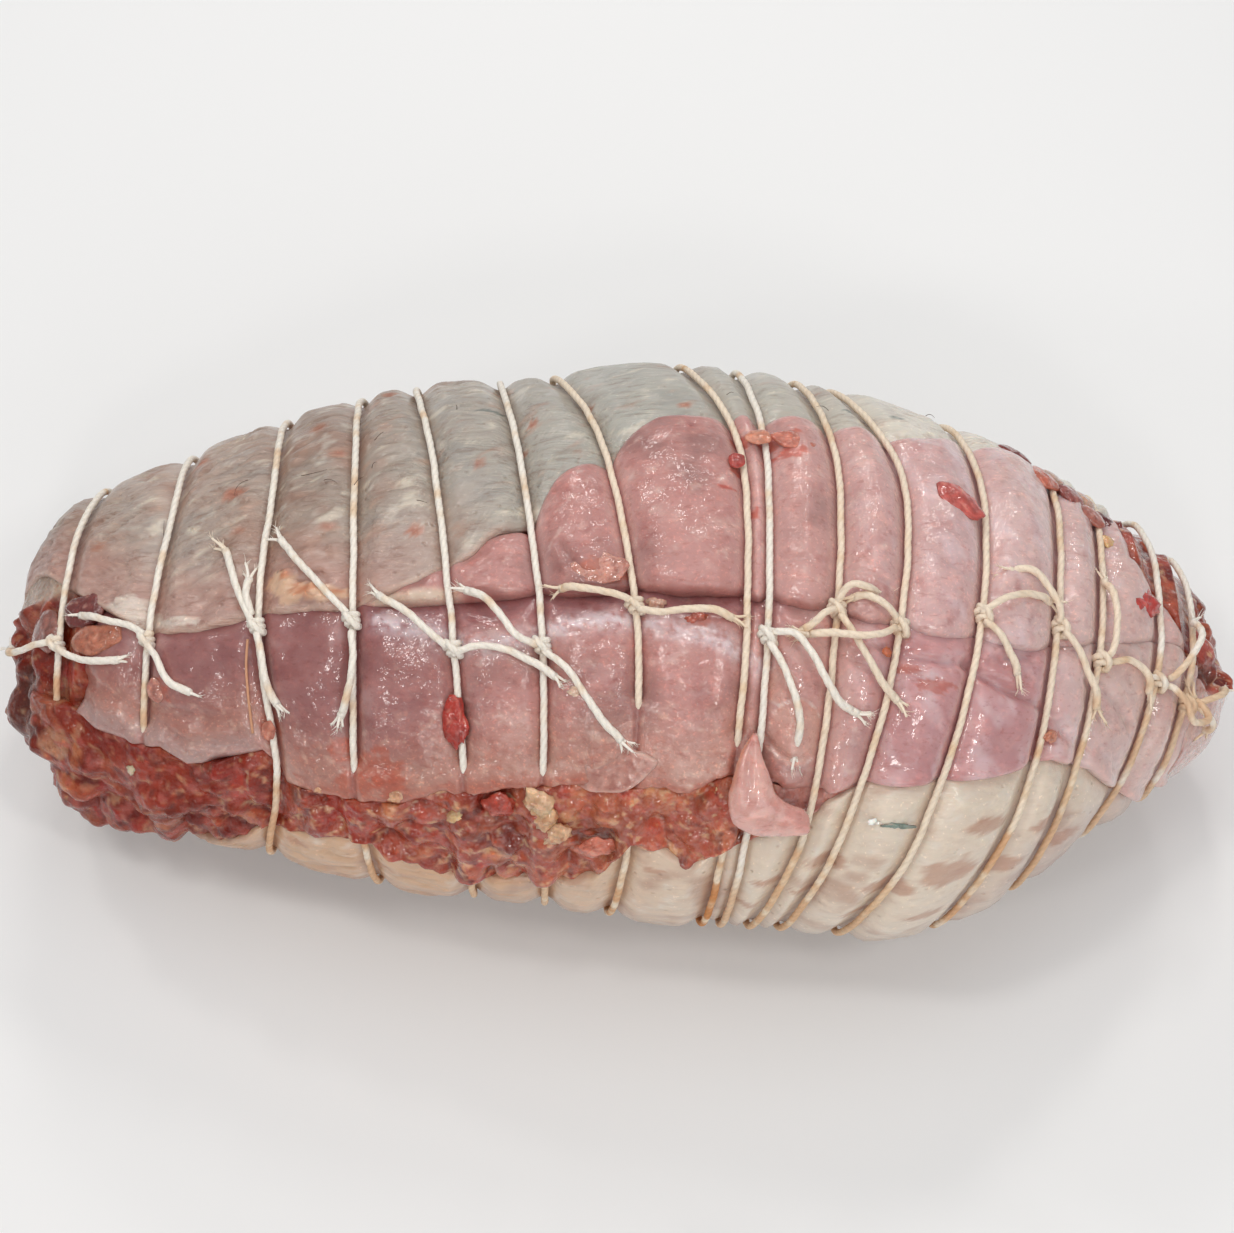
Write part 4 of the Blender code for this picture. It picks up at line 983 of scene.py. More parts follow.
def front_paint(p, x, angle, distance, from_foot, from_top, height):
    colour = flesh(p, x, 330, PANEL_LEAN)
    mauve = smooth(-x, 20, 52)
    tone = fractal(p, 6.0, 345, 3, (1.8, 1.0, 1.0))
    fine = fractal(p, 1.8, 352, 3)
    colour = mix(colour, mix(rgb(138, 86, 86), rgb(160, 108, 105), tone + 0.5), 0.88 * mauve)
    film = smooth(distance, 1.0, 3.0) * smooth(-distance, -6.5, -3.5) * smooth(tone, -0.1, 0.4)
    colour = mix(colour, rgb(190, 158, 156), 0.4 * film * mauve)
    low = smooth(-from_foot, -22, -4) * smooth(-x, -40, -20)
    colour = mix(colour, mix(rgb(190, 146, 130), rgb(178, 116, 96), tone + 0.45), 0.7 * low)
    breast = breast_mask(x)
    colour = mix(colour, mix(rgb(184, 126, 128), rgb(202, 150, 151), tone + 0.5), 0.8 * breast)
    colour = pearly_film_sheen(colour, p, x)
    right = smooth(x, 100, 112)
    colour = mix(colour, mix(rgb(204, 168, 162), rgb(222, 196, 188), tone + 0.5), 0.8 * right)
    # deeper mauve band just under the lobes: partly the panel's own tone, partly painted shade under
    # the lobes
    upper = smooth(-from_top, -10, -5) * smooth(-np.abs(x + 10), -52, -38)
    colour = mix(colour, rgb(152, 100, 104), 0.7 * upper)
    shine = np.exp(-((near_line(p, MEMBRANE) / 2.3) ** 2)) * smooth(fine, -0.5, 0.2)
    colour = mix(colour, rgb(230, 216, 220), 0.85 * shine)
    for mask in spots(p, ORANGE_STAINS[1:], 0.9, 360, 1):
        colour = mix(colour, mix(rgb(190, 100, 72), rgb(172, 74, 54), fine + 0.5), 0.6 * mask)
    near_mince = smooth(-from_foot + 2.5 * tone, -5.0, -0.5) * smooth(-x, -42, -34)
    colour = mix(colour, rgb(172, 92, 70), 0.6 * near_mince)
    grey_edge = smooth(-np.abs(x + 102), -34, -22) * smooth(-from_foot, -9, -2)
    colour = mix(colour, rgb(176, 158, 156), 0.6 * grey_edge)
    spread = grainy(x, from_foot)
    colour = mix(colour, rgb(214, 178, 160), 0.5 * smooth(fine, 0.15, 0.45) * spread)
    colour = mix(colour, rgb(170, 80, 62), 0.45 * smooth(-fine, 0.3, 0.55) * low)
    for place, along, around, _ in LOBE_SWELLS[:2]:
        mask = smooth(swell(p, place, along, around), 0.0, 0.3)
        colour = mix(colour, mix(rgb(218, 174, 160), rgb(202, 150, 140), tone + 0.5), 0.85 * mask)
        colour = mix(colour, rgb(236, 222, 216), 0.7 * mask * (1 - mask) * 4 * smooth(fine, -0.2, 0.3))
    # painted shade in the groove right beside each string
    groove_shade = smooth(-distance, -1.2, 0)
    colour = mix(colour, rgb(154, 92, 86), 0.6 * groove_shade)
    # painted shade along the seam under the lobes' edge, less on the right
    seam_shade = smooth(-from_top, -3.4, -1.6) * (1 - 0.7 * smooth(x, 44, 60))
    colour = mix(colour, rgb(134, 76, 76), 0.6 * seam_shade)
    # painted shade where the panel sinks deep, at the left
    colour = mix(colour, rgb(116, 50, 46), smooth(-height, 1.8, 4.4) * smooth(-x, -48, -40))
    return with_alpha(colour, np.clip(0.10 + 0.8 * spread + 0.25 * (1 - breast), 0, 1))


def lobe_top(t):
    x = station(t, 100.0)
    over = (LOBE_LAP + 1.2 * wobble(t, 9.0, 23)) * smooth(x, -28, -10)
    finger = np.sin(np.pi * (t - np.floor(t))) ** 0.7 - 0.72
    over = over + SCALLOP * finger * smooth(x, -36, -24) * smooth(-x, -44, -14)
    return edges(t)[0] - EDGE_GAP + over + LOBE_UNDER * smooth(-x, 24, 34)


def lobe_foot(t):
    x = station(t, 76.0)
    finger = np.sin(np.pi * (t - np.floor(t))) ** 0.7 - 0.5
    sagging = FOOT_SCALLOP * finger + 0.6 * wobble(t, 5.0, 29)
    return edges(t)[1] + EDGE_GAP / 2 - sagging * smooth(x, -30, -14) * smooth(-x, -104, -90)


def front_top(t):
    return edges(t)[1] - EDGE_GAP + FRONT_TUCK


def front_foot(t):
    opened = smooth(window_reach(t), WINDOW_SHUT, WINDOW_OPEN)
    return edges(t)[2] + EDGE_GAP - FRONT_LAP * (1 - opened) + 1.5 * wobble(t, 5.0, 27) * opened


# Stuffing
MINCE_STEP = 0.55
WINDOW_ROWS = 84
WINDOW_START = 0.5
WINDOW_STOP = 13.5
WINDOW_SINK = 4.0
WINDOW_FADE = 0.22
WINDOW_DROPS = (1.4, 3.0, 5.0)
LEFT, RIGHT = 0, -1
DOME_COLUMNS = 300
DOME_CROWDING = 0.8
POLE_TURN = 0.004
RIM_SHARE = 0.05
RIM_DROP = 3.0
TIP_ROOM = 0.2
CRUMB_COUNT = 2100
CRUMB_SEED = 31
CRUMB_RADII = (1.2, 3.9)
CRUMB_BLEND = 3.0
CRUMB_ENDS = (-105, 108)
CRUMB_STRETCH = (-115, 45)
CRUMB_ANGLES = (-35, 50)
CRUMB_RISES = (0.3, 0.9)
CRUMB_SHADES = (0.82, 1.12)
BIG_POWER = 9.0
COVERED_STRINGS = (1, 2, 4, 5, 6, 7, 8)
MINCE_COVER = 1.6
MINCE_BLEND = 1.0
MINCE_RISE = 1.3
END_SMOOTHING = 0.40
CALM_SHARE = 0.8
MINCE_FILTER = np.array([0.92, 0.56, 0.46])
LEFT_FILTER = np.array([0.80, 0.78, 0.82])
LEFT_DRYNESS = 0.8
DRY_STRETCH = (44, 92)
RIGHT_GAIN = np.array([0.40, 0.85, 0.80])
MINCE_TONES = (
    (rgb(150, 66, 48), 5), (rgb(122, 44, 34), 3), (rgb(170, 90, 62), 5), (rgb(188, 116, 84), 3),
    (rgb(192, 108, 92), 2.6), (rgb(216, 166, 122), 1.4), (rgb(222, 194, 158), 0.7),
    (rgb(140, 78, 54), 2), (rgb(178, 58, 44), 2.0),
)


def crumbs():
    """Places, sizes and colours of the crumbs of mince."""
    draw = np.random.default_rng(CRUMB_SEED)
    third = CRUMB_COUNT // 3
    x = np.concatenate([
        draw.uniform(LEFT_TIP, CRUMB_ENDS[0], third), draw.uniform(CRUMB_ENDS[1], RIGHT_TIP, third),
        draw.uniform(*CRUMB_STRETCH, CRUMB_COUNT),
    ])
    angle = np.concatenate([
        draw.uniform(-180, 180, 2 * third), draw.uniform(*CRUMB_ANGLES, CRUMB_COUNT),
    ])
    count = len(x)
    radius = CRUMB_RADII[0] + (CRUMB_RADII[1] - CRUMB_RADII[0]) * draw.random(count) ** 1.8
    rise = draw.uniform(*CRUMB_RISES, count)
    weights = np.array([w for _, w in MINCE_TONES])
    tone = draw.choice(len(MINCE_TONES), count, p=weights / weights.sum())
    shade = draw.uniform(*CRUMB_SHADES, count)
    return form(x, angle), radius, rise, tone, shade


CRUMBS = crumbs()
BIG_CRUMBS = (
    # place, radius, height, colour
    ((-132.0, 79.0), 6.5, 2.2, rgb(172, 112, 100)), ((-117.5, 79.5), 5.6, 2.2, rgb(112, 46, 44)),
    ((-118.5, 68.0), 4.6, 1.9, rgb(184, 116, 84)), ((-112.0, 69.0), 4.8, 2.0, rgb(180, 112, 80)),
    ((-129.0, 64.0), 5.2, 1.7, rgb(150, 74, 62)), ((-133.0, 35.0), 9.5, 0.7, rgb(100, 80, 74)),
    ((-132.0, 12.0), 8.5, 0.7, rgb(106, 78, 70)), ((-127.0, 42.0), 4.8, 1.3, rgb(178, 118, 92)),
    ((-124.0, 27.0), 4.2, 1.7, rgb(206, 186, 156)), ((-113.5, 33.0), 6.2, 2.2, rgb(146, 58, 46)),
    ((-107.5, 19.0), 8.2, 2.6, rgb(178, 98, 84)), ((-103.5, 36.0), 4.6, 2.0, rgb(150, 60, 48)),
    ((-95.0, 19.0), 6.8, 1.6, rgb(174, 82, 58)), ((-83.5, 23.0), 6.0, 2.2, rgb(194, 92, 80)),
    ((-82.0, 7.0), 3.2, 1.6, rgb(214, 176, 140)), ((-58.0, 20.0), 5.2, 1.6, rgb(170, 66, 52)),
    ((-42.0, 14.0), 5.0, 1.4, rgb(178, 84, 62)), ((2.0, 27.0), 5.0, 1.2, rgb(128, 54, 38)),
    ((15.0, 26.0), 5.6, 1.6, rgb(150, 60, 44)), ((18.0, 20.0), 4.4, 1.4, rgb(176, 84, 60)),
    ((111.0, 109.0), 5.0, 1.2, rgb(122, 60, 60)), ((113.5, 88.5), 5.2, 1.4, rgb(194, 82, 76)),
    ((121.5, 89.5), 4.8, 1.3, rgb(192, 92, 82)), ((121.0, 107.0), 7.0, 2.0, rgb(182, 118, 102)),
    ((125.5, 97.0), 5.2, 1.6, rgb(188, 120, 98)), ((110.0, 127.0), 5.0, 1.8, rgb(160, 108, 102)),
    ((136.0, 85.0), 5.6, 2.0, rgb(188, 106, 100)), ((136.0, 68.0), 4.2, 1.0, rgb(114, 84, 78)),
    ((131.0, 106.0), 5.4, 1.2, rgb(168, 156, 146)),
)


def crumb_fields(points):
    """Height of the crumbs over each point, run softly together, and their mixed colour."""
    flat = points.reshape(-1, 3)
    swollen = np.zeros(len(flat))
    weight = np.full(len(flat), 0.02)
    tone = np.tile(rgb(140, 60, 44) * 0.02, (len(flat), 1))
    tones = np.array([c for c, _ in MINCE_TONES])
    warp = flat + 1.1 * np.stack([fractal(flat, 2.6, 400 + n, 2) for n in range(3)], -1)
    order = np.argsort(warp[:, 0])
    xs = warp[order, 0]
    for place, radius, rise, kind, shade in zip(*CRUMBS):
        a, b = np.searchsorted(xs, (place[0] - radius, place[0] + radius))
        some = order[a:b]
        share = np.clip(1 - np.sum((warp[some] - place) ** 2, -1) / radius**2, 0, 1)
        hit = some[share > 0]
        share = share[share > 0]
        height = rise * radius * share**1.3
        swollen[hit] += np.expm1(CRUMB_BLEND * height)
        power = height**2.2
        weight[hit] += power
        tone[hit] += power[:, None] * tones[kind] * shade
    for (x, angle), radius, rise, colour in BIG_CRUMBS:
        place = form(np.array(x), np.array(angle))
        share = np.clip(1 - np.sum((warp - place) ** 2, -1) / radius**2, 0, 1)
        swollen += np.expm1(CRUMB_BLEND * rise * share**0.8)
        power = BIG_POWER * share**0.7
        weight += power
        tone += power[:, None] * colour
    height = np.log1p(swollen) / CRUMB_BLEND
    tone = tone / weight[:, None]
    return height.reshape(points.shape[:-1]), tone.reshape(points.shape)


def mince_height(p, x, angle, crumb):
    lumpy = fractal(p, 6.0, 420, 3)
    grain = fractal(p, 1.3, 424, 2)
    flatter = 1 - END_SMOOTHING * smooth(-x, 106, 120) - CALM_SHARE * calm(x, angle)
    relief = (crumb * 0.95 + 0.9 * lumpy + 0.14 * grain) * flatter
    return STUFFING_LEVEL + lump_height(x, angle) + relief - 0.7 * flatter


def calm(x, angle):
    """Where the gap in front shows smooth meat, to the right of the flap."""
    return smooth(x, 30, 35) * smooth(-x, -70, -60) * smooth(angle, 0, 15) * smooth(-angle, -80, -60)


def mince_paint(p, tone, crumb):
    fine = fractal(p, 1.2, 430, 2)
    middle = fractal(p, 4.0, 434, 3)
    base = mix(rgb(142, 60, 44), rgb(170, 92, 64), smooth(middle, -0.3, 0.4))
    colour = mix(base, tone, 0.2 + 0.7 * smooth(crumb, 0.15, 0.8))
    # painted shade in the hollows between crumbs
    colour = mix(colour, rgb(104, 36, 28), 0.5 * smooth(-crumb, -0.5, -0.05))
    colour = mix(colour, rgb(214, 172, 132), 0.42 * smooth(fine, 0.34, 0.56))
    colour = mix(colour, rgb(104, 34, 28), 0.35 * smooth(-fine, 0.3, 0.6))
    left = smooth(-p[..., :1], 55, 100)
    right = smooth(p[..., :1], -32, -2) * smooth(-p[..., :1], -100, -60)
    colour = colour * MINCE_FILTER * (1 + (LEFT_FILTER - 1) * left) * (1 + RIGHT_GAIN * right)
    colour = mix(colour, rgb(176, 112, 88), 0.34 * right[..., 0])
    bits = fractal(p, 2.0, 436, 2)
    pale = mix(rgb(206, 146, 112), rgb(222, 186, 146), smooth(middle, -0.2, 0.3))
    colour = mix(colour, pale, 0.68 * smooth(bits, 0.18, 0.36) * (1 - 0.5 * left[..., 0]))
    meaty = fractal(p, 3.2, 438, 2)
    colour = mix(colour, rgb(178, 92, 82), 0.6 * smooth(meaty, 0.20, 0.36))
    return mix(colour, rgb(92, 36, 30), 0.55 * smooth(-meaty, 0.24, 0.42))


def window_top(t):
    """Upper edge of the mince in the window, under the panel's foot."""
    front, foot = edges(t)[2:]
    return np.maximum(front + 1.0, foot + 2.2)


def window_foot(t):
    return edges(t)[3] - 0.6


def window_mesh():
    """Mince in the gap between the front meat and the front skin."""
    turns = columns(MINCE_STEP)
    turns = turns[(turns > WINDOW_START) & (turns < WINDOW_STOP)]
    count = len(WINDOW_DROPS)
    share = np.concatenate([np.zeros(count), np.linspace(0, 1, WINDOW_ROWS), np.ones(count)])[:, None]
    drop = np.concatenate([WINDOW_DROPS[::-1], np.zeros(WINDOW_ROWS), WINDOW_DROPS])[:, None]
    t = np.tile(turns, (len(share), 1))
    angle = window_foot(t) * (1 - share) + window_top(t) * share
    x = station(t, angle)
    base = form(x, angle)
    crumb, tone = crumb_fields(base)
    height = mince_height(base, x, angle, crumb)
    distance = string_distance(t, angle)[0]
    reach = window_reach(t)
    height = height + MINCE_RISE * smooth(share, 0.15, 0.75) * smooth(reach, 1.5, 5)
    nearest = np.rint(t).astype(int)
    under_meat = smooth(window_top(t) - angle, -0.5, 0.6)
    covered = np.isin(nearest, COVERED_STRINGS) * smooth(angle - window_foot(t), 0.8, 2.5)
    covered = covered * under_meat
    pressed = grooved(height, t, angle, x, MINCE_BLEND, MINCE_GROOVE)
    over = np.maximum(height, MINCE_COVER + 0.7 * fractal(base, 3.0, 440, 2))
    over = height + (over - height) * smooth(-distance, -5.0, -1.2)
    height = pressed + (over - pressed) * covered
    spill = smooth(-share, -0.3, 0.0) * smooth(reach, 2, 6)
    height = height + 1.6 * spill
    height = np.where(reach < 1.6, np.minimum(height, -2.0), height)
    height = height - WINDOW_SINK * smooth(-t, -WINDOW_START - WINDOW_FADE, -WINDOW_START)
    points = base + normal(x, angle) * (height - drop)[..., None]
    points[..., 2] = np.maximum(points[..., 2], 0.05)
    colours = mince_paint(base, tone, crumb)
    tone = fractal(base, 4.0, 446, 2)
    colours = mix(colours, mix(rgb(176, 112, 104), rgb(206, 152, 142), tone + 0.5), calm(x, angle))
    quads = np.roll(sheet_quads(len(share), len(turns))[1], -1, axis=-1)
    return points.reshape(-1, 3), quads.reshape(-1, 4), colours.reshape(-1, 3)


def dome_mesh(side):
    """Mince that fills an open end, from under the wrapped layers to the pole."""
    angle = np.linspace(-90, 270, DOME_COLUMNS, endpoint=False)
    if side == LEFT:
        start, stop, count = end_turn(LEFT_END, angle) + 0.10, POLE_TURN, 74
    else:
        start, stop, count = end_turn(RIGHT_END, angle) - 0.12, LAST_TURN - POLE_TURN, 84
    rows = np.linspace(0, 1, count)[:, None] ** DOME_CROWDING
    t = start * (1 - rows) + stop * rows
    angle = np.tile(angle, (len(rows), 1))
    x = station(t, angle)
    base = form(x, angle)
    crumb, tone = crumb_fields(base)
    height = mince_height(base, x, angle, crumb)
    cover = end_cover(side, x, angle)
    even = STUFFING_LEVEL + 1.8 + 0.8 * fractal(base, 9.0, 470, 2)
    height = height + (even - height) * cover
    near_pole = smooth(rows, 0.80, 0.98)
    height = height * (1 - near_pole) + (STUFFING_LEVEL + 1.2 + crumb * 0.5) * near_pole
    height = grooved(height, t, angle, x, MINCE_BLEND, MINCE_GROOVE)
    drop = np.where(rows < RIM_SHARE, (RIM_SHARE - rows) / RIM_SHARE * RIM_DROP, 0)
    points = base + normal(x, angle) * (height - drop)[..., None]
    points[..., 0] = np.clip(points[..., 0], LEFT_TIP - TIP_ROOM, RIGHT_TIP + TIP_ROOM)
    points[-1] = points[-1].mean(axis=0)
    colours = mince_paint(base, tone, crumb)
    colours = end_paint(side, base, x, angle, colours)
    quads = ring_quads(len(rows), DOME_COLUMNS)[2]
    if side == RIGHT:
        quads = quads[:, ::-1]
    return points.reshape(-1, 3), quads, colours.reshape(-1, 3)


def end_cover(side, x, angle):
    """Share of an end that skin (left) or pale flesh (right) covers."""
    turn = (angle + 180) % 360 - 180
    if side == LEFT:
        return smooth(angle, 84, 91) * smooth(-angle, -235, -205)
    edge_angle = 82 - 24 * smooth(x, 128, 137)
    return smooth(-turn, -edge_angle, 7 - edge_angle) * smooth(turn, -75, -50)


def end_paint(side, p, x, angle, colour):
    """Skin over the top of the left end, pale flesh over the front of the right one."""
    fine = fractal(p, 2.2, 460 + side, 3, (1.0, 3.0, 1.0))
    big = fractal(p, 8.0, 466 + side, 2)
    if side == LEFT:
        tone = mix(rgb(166, 142, 126), rgb(194, 172, 152), smooth(fine + big, -0.3, 0.5))
    else:
        tone = mix(rgb(200, 158, 152), rgb(220, 190, 182), smooth(0.6 * fine + big, -0.4, 0.4))
    return mix(colour, tone, end_cover(side, x, angle))


def stuffing_mesh():
    """The mince that shows: in the window and at both ends."""
    points, faces, colours, first = [], [], [], 0
    for p, f, c in (window_mesh(), dome_mesh(LEFT), dome_mesh(RIGHT)):
        points.append(p)
        faces.append(f + first)
        colours.append(c)
        first += len(p)
    points = np.concatenate(points)
    wet = 1 - LEFT_DRYNESS * smooth(-points[:, 0], *DRY_STRETCH)
    paint = np.column_stack([np.concatenate(colours), wet])
    return make_mesh("stuffing_mince", points, np.concatenate(faces).tolist(), paint)


# Flap and small pieces of meat
FLAP_ACROSS = (
    # left edge, right edge, half thickness
    ((50.2, 27.9), (50.2, 28.7), 0.6), ((49.5, 27.4), (49.5, 29.0), 1.3),
    ((45.5, 25.1), (45.5, 30.1), 2.1), ((41, 23.6), (41.8, 31.6), 2.7),
    ((36.5, 23.2), (38.7, 33.1), 3.0), ((31.5, 24.0), (37.5, 34.6), 2.9),
    ((29.2, 28.0), (36.8, 36.3), 2.6), ((29.2, 34.0), (36.0, 38.2), 2.2),
    ((29.2, 40.0), (35.0, 39.8), 1.7),
)
FLAP_LIFT = 2.3
FLAP_THICK_SHARE = 0.9
FLAP_LOWER = 0.4
FLAP_GRAIN = 0.3
FLAP_RINGS = 72
FLAP_SIDES = 52
FLAP_END_ROUND = 0.10


def flap_mesh():
    """Curled tongue of meat lying over the edge of the front panel."""
    steps = np.arange(len(FLAP_ACROSS))
    u = np.linspace(0, len(steps) - 1, FLAP_RINGS)
    left = np.array([row[0] for row in FLAP_ACROSS], float)
    right = np.array([row[1] for row in FLAP_ACROSS], float)
    thick = spline(steps, [row[2] for row in FLAP_ACROSS], u)
    left = np.stack([spline(steps, left[:, n], u) for n in (0, 1)], -1)
    right = np.stack([spline(steps, right[:, n], u) for n in (0, 1)], -1)
    a, b = form(left[:, 1], left[:, 0]), form(right[:, 1], right[:, 0])
    up = normal((left[:, 1] + right[:, 1]) / 2, (left[:, 0] + right[:, 0]) / 2)
    end = np.minimum(1, (len(steps) - 1 - u) / (FLAP_END_ROUND * len(steps)))
    blunt = 0.55 + 0.45 * np.sqrt(1 - (1 - end) ** 2)
    middle = (a + b) / 2 + up * (FLAP_LIFT - FLAP_LOWER + thick * FLAP_THICK_SHARE)[:, None]
    side = (a - b) / 2
    turn = 2 * np.pi * np.arange(FLAP_SIDES) / FLAP_SIDES
    wide = np.sign(np.cos(turn)) * np.abs(np.cos(turn)) ** 0.9
    points = (
        middle[:, None] + (wide * blunt[:, None])[..., None] * side[:, None]
        + (thick[:, None] * blunt[:, None] * np.sin(turn))[..., None] * up[:, None]
    )
    out = points - middle[:, None]
    out /= np.maximum(np.linalg.norm(out, axis=-1, keepdims=True), 1e-6)
    along = np.linspace(0, 1, FLAP_RINGS)[:, None]
    swing = 0.6 * fractal(points, 6.0, 500, 2) + 0.16 * fractal(points, 1.8, 503, 2)
    fold = -0.9 * np.exp(-(((turn - 1.35) / 0.28) ** 2)) * smooth(along, 0.08, 0.3)
    fold = fold * smooth(-along, -0.62, -0.4)
    rib = 0.5 * np.exp(-(((turn - 1.0) / 0.22) ** 2)) * smooth(along, 0.05, 0.3)
    rib = rib * smooth(-along, -0.6, -0.4)
    points = points + out * ((swing * np.sin(np.pi * along) ** 0.5) + fold + rib)[..., None]
    streak = fractal(points, 2.4, 506, 3, (1.0, 1.6, 1.6))
    big = fractal(points, 7.0, 509, 2)
    colour = mix(rgb(220, 172, 162), rgb(208, 152, 143), smooth(big, -0.2, 0.4))
    colour = mix(colour, rgb(232, 198, 188), 0.4 * smooth(streak, 0.05, 0.45))
    top = smooth(-along, -0.25, -0.05) * np.ones(FLAP_SIDES)
    colour = mix(colour, rgb(180, 112, 104), 0.6 * top)
    outer = smooth(np.cos(turn), 0.6, 0.95) * smooth(-along, -0.6, -0.3)
    colour = mix(colour, rgb(204, 132, 92), 0.6 * outer)
    # painted shade on the flap's underside, which lies on the panel
    under = smooth(-np.sin(turn), 0.2, 0.8) * np.ones((FLAP_RINGS, 1))
    colour = mix(colour, rgb(172, 104, 92), 0.5 * under)
    index, after, quads = ring_quads(FLAP_RINGS, FLAP_SIDES)
    flat = points.reshape(-1, 3)
    tips = np.array([points[0].mean(0), points[-1].mean(0)])
    flat = np.concatenate([flat, tips])
    paint = np.concatenate([colour.reshape(-1, 3), colour[[0, -1], 0]])
    paint = np.column_stack([paint, np.full(len(paint), FLAP_GRAIN)])
    last = len(flat) - 1
    faces = quads.tolist() + [(a, b, last - 1) for a, b in zip(after[0].tolist(), index[0].tolist())]
    faces += [(a, b, last) for a, b in zip(index[-1].tolist(), after[-1].tolist())]
    return make_mesh("flap_tongue", flat, faces, paint)


SCRAPS = (
    # place, half sizes along X, round and up, lift, turn in degrees, colour, seed
    ((-33.4, 48.5), 2.6, 5.4, 1.3, 0.9, 4, rgb(178, 58, 46), 1),
    ((8.2, 73.8), 1.9, 1.5, 1.0, 0.2, 0, rgb(214, 176, 156), 7),
    ((16.5, 71.2), 2.6, 1.4, 0.7, 0.6, 20, rgb(178, 88, 68), 8),
    ((-8.4, 56.0), 1.6, 1.2, 0.7, 1.6, 30, rgb(226, 192, 170), 9),
    ((-16.3, 31.0), 3.3, 3.0, 1.7, 1.9, -28, rgb(224, 184, 146), 10),
    ((-15.3, 27.3), 3.0, 3.4, 1.8, 1.5, 16, rgb(216, 170, 128), 31),
    ((-12.4, 22.0), 3.6, 2.2, 1.5, 1.2, 34, rgb(220, 176, 138), 11),
    ((-34.0, 25.0), 2.4, 1.4, 0.9, 1.2, 30, rgb(216, 178, 128), 12),
    ((-24.6, 29.0), 3.6, 2.6, 1.3, 1.0, 0, rgb(178, 68, 50), 13),
    ((-4.5, 19.5), 4.4, 2.2, 1.3, 1.0, 6, rgb(206, 120, 98), 14),
    ((-105.8, 24.2), 1.8, 1.5, 0.9, 1.4, 0, rgb(206, 190, 158), 15),
    ((21.2, 35.0), 1.2, 2.4, 0.8, 0.6, 8, rgb(212, 166, 124), 16),
    ((117.0, 88.5), 5.8, 3.4, 1.6, 0.6, 12, rgb(200, 76, 70), 17),
    ((112.2, 124.5), 4.4, 2.4, 1.5, -0.6, -30, rgb(112, 54, 54), 18),
    ((111.0, 110.5), 2.2, 1.6, 1.0, 0.0, 0, rgb(222, 180, 126), 19),
    ((-46.5, 29.5), 1.8, 1.4, 0.8, 1.4, 0, rgb(220, 168, 132), 27),
    ((-63.0, 28.0), 1.4, 1.2, 0.7, 1.2, 0, rgb(214, 160, 120), 28),
    ((92.0, 49.0), 1.8, 1.4, 0.8, 1.2, 0, rgb(206, 136, 108), 29),
    ((58.2, 33.2), 3.4, 0.55, 0.4, 1.5, -4, rgb(118, 138, 128), 33),
    ((53.4, 33.7), 1.5, 0.7, 0.5, 1.6, -4, rgb(248, 246, 238), 34),
    ((55.8, 69.5), 1.0, 1.3, 0.5, 1.6, 0, rgb(206, 116, 76), 30),
)
SMOOTH_SCRAPS = (
    # the same values, for smooth pieces
    ((73.3, 103.5), 6.4, 3.9, 1.1, 2.4, -32, rgb(200, 96, 88), 2),
    ((30.5, 109.0), 3.0, 2.4, 0.8, 2.2, 10, rgb(220, 152, 126), 3),
    ((37.6, 109.8), 4.8, 3.2, 0.9, 2.3, -12, rgb(206, 124, 104), 4),
    ((25.6, 102.5), 1.7, 2.0, 0.6, 1.9, 0, rgb(176, 70, 62), 5),
    ((-3.6, 79.8), 6.6, 3.8, 1.2, 1.7, 6, rgb(206, 148, 134), 6),
    ((91.0, 138.0), 4.4, 2.6, 1.3, 1.0, -20, rgb(134, 58, 54), 21),
    ((96.0, 128.5), 4.6, 3.8, 1.4, 1.0, -30, rgb(200, 112, 90), 20),
    ((99.5, 133.0), 3.6, 2.6, 1.3, 0.8, -30, rgb(196, 158, 140), 36),
    ((103.0, 127.0), 4.2, 3.0, 1.3, 0.9, -34, rgb(158, 90, 84), 35),
    ((106.5, 129.0), 3.6, 3.0, 1.4, 0.6, -34, rgb(202, 160, 140), 37),
    ((107.5, 120.0), 3.4, 3.2, 1.2, 0.9, -34, rgb(180, 112, 98), 38),
    ((-128.0, 73.0), 5.2, 4.8, 1.8, 0.0, 0, rgb(152, 102, 92), 22),
    ((-114.0, 68.5), 7.0, 3.4, 1.6, 0.8, 4, rgb(190, 122, 98), 23),
    ((-118.0, 78.5), 5.2, 4.2, 1.5, 0.2, 0, rgb(122, 60, 56), 24),
    ((-74.0, 42.8), 1.6, 2.2, 0.5, 1.1, 0, rgb(190, 120, 100), 25),
    ((-99.5, 52.6), 2.4, 2.6, 0.5, 1.0, 0, rgb(184, 128, 116), 26),
)
SCRAP_SINK = 0.35
# How ragged and how bent the pieces are
SCRAP_SHAPE = (0.42, 0.7)
SMOOTH_SHAPE = (0.15, 0.5)
SCRAP_RINGS = 18
SCRAP_SIDES = 26


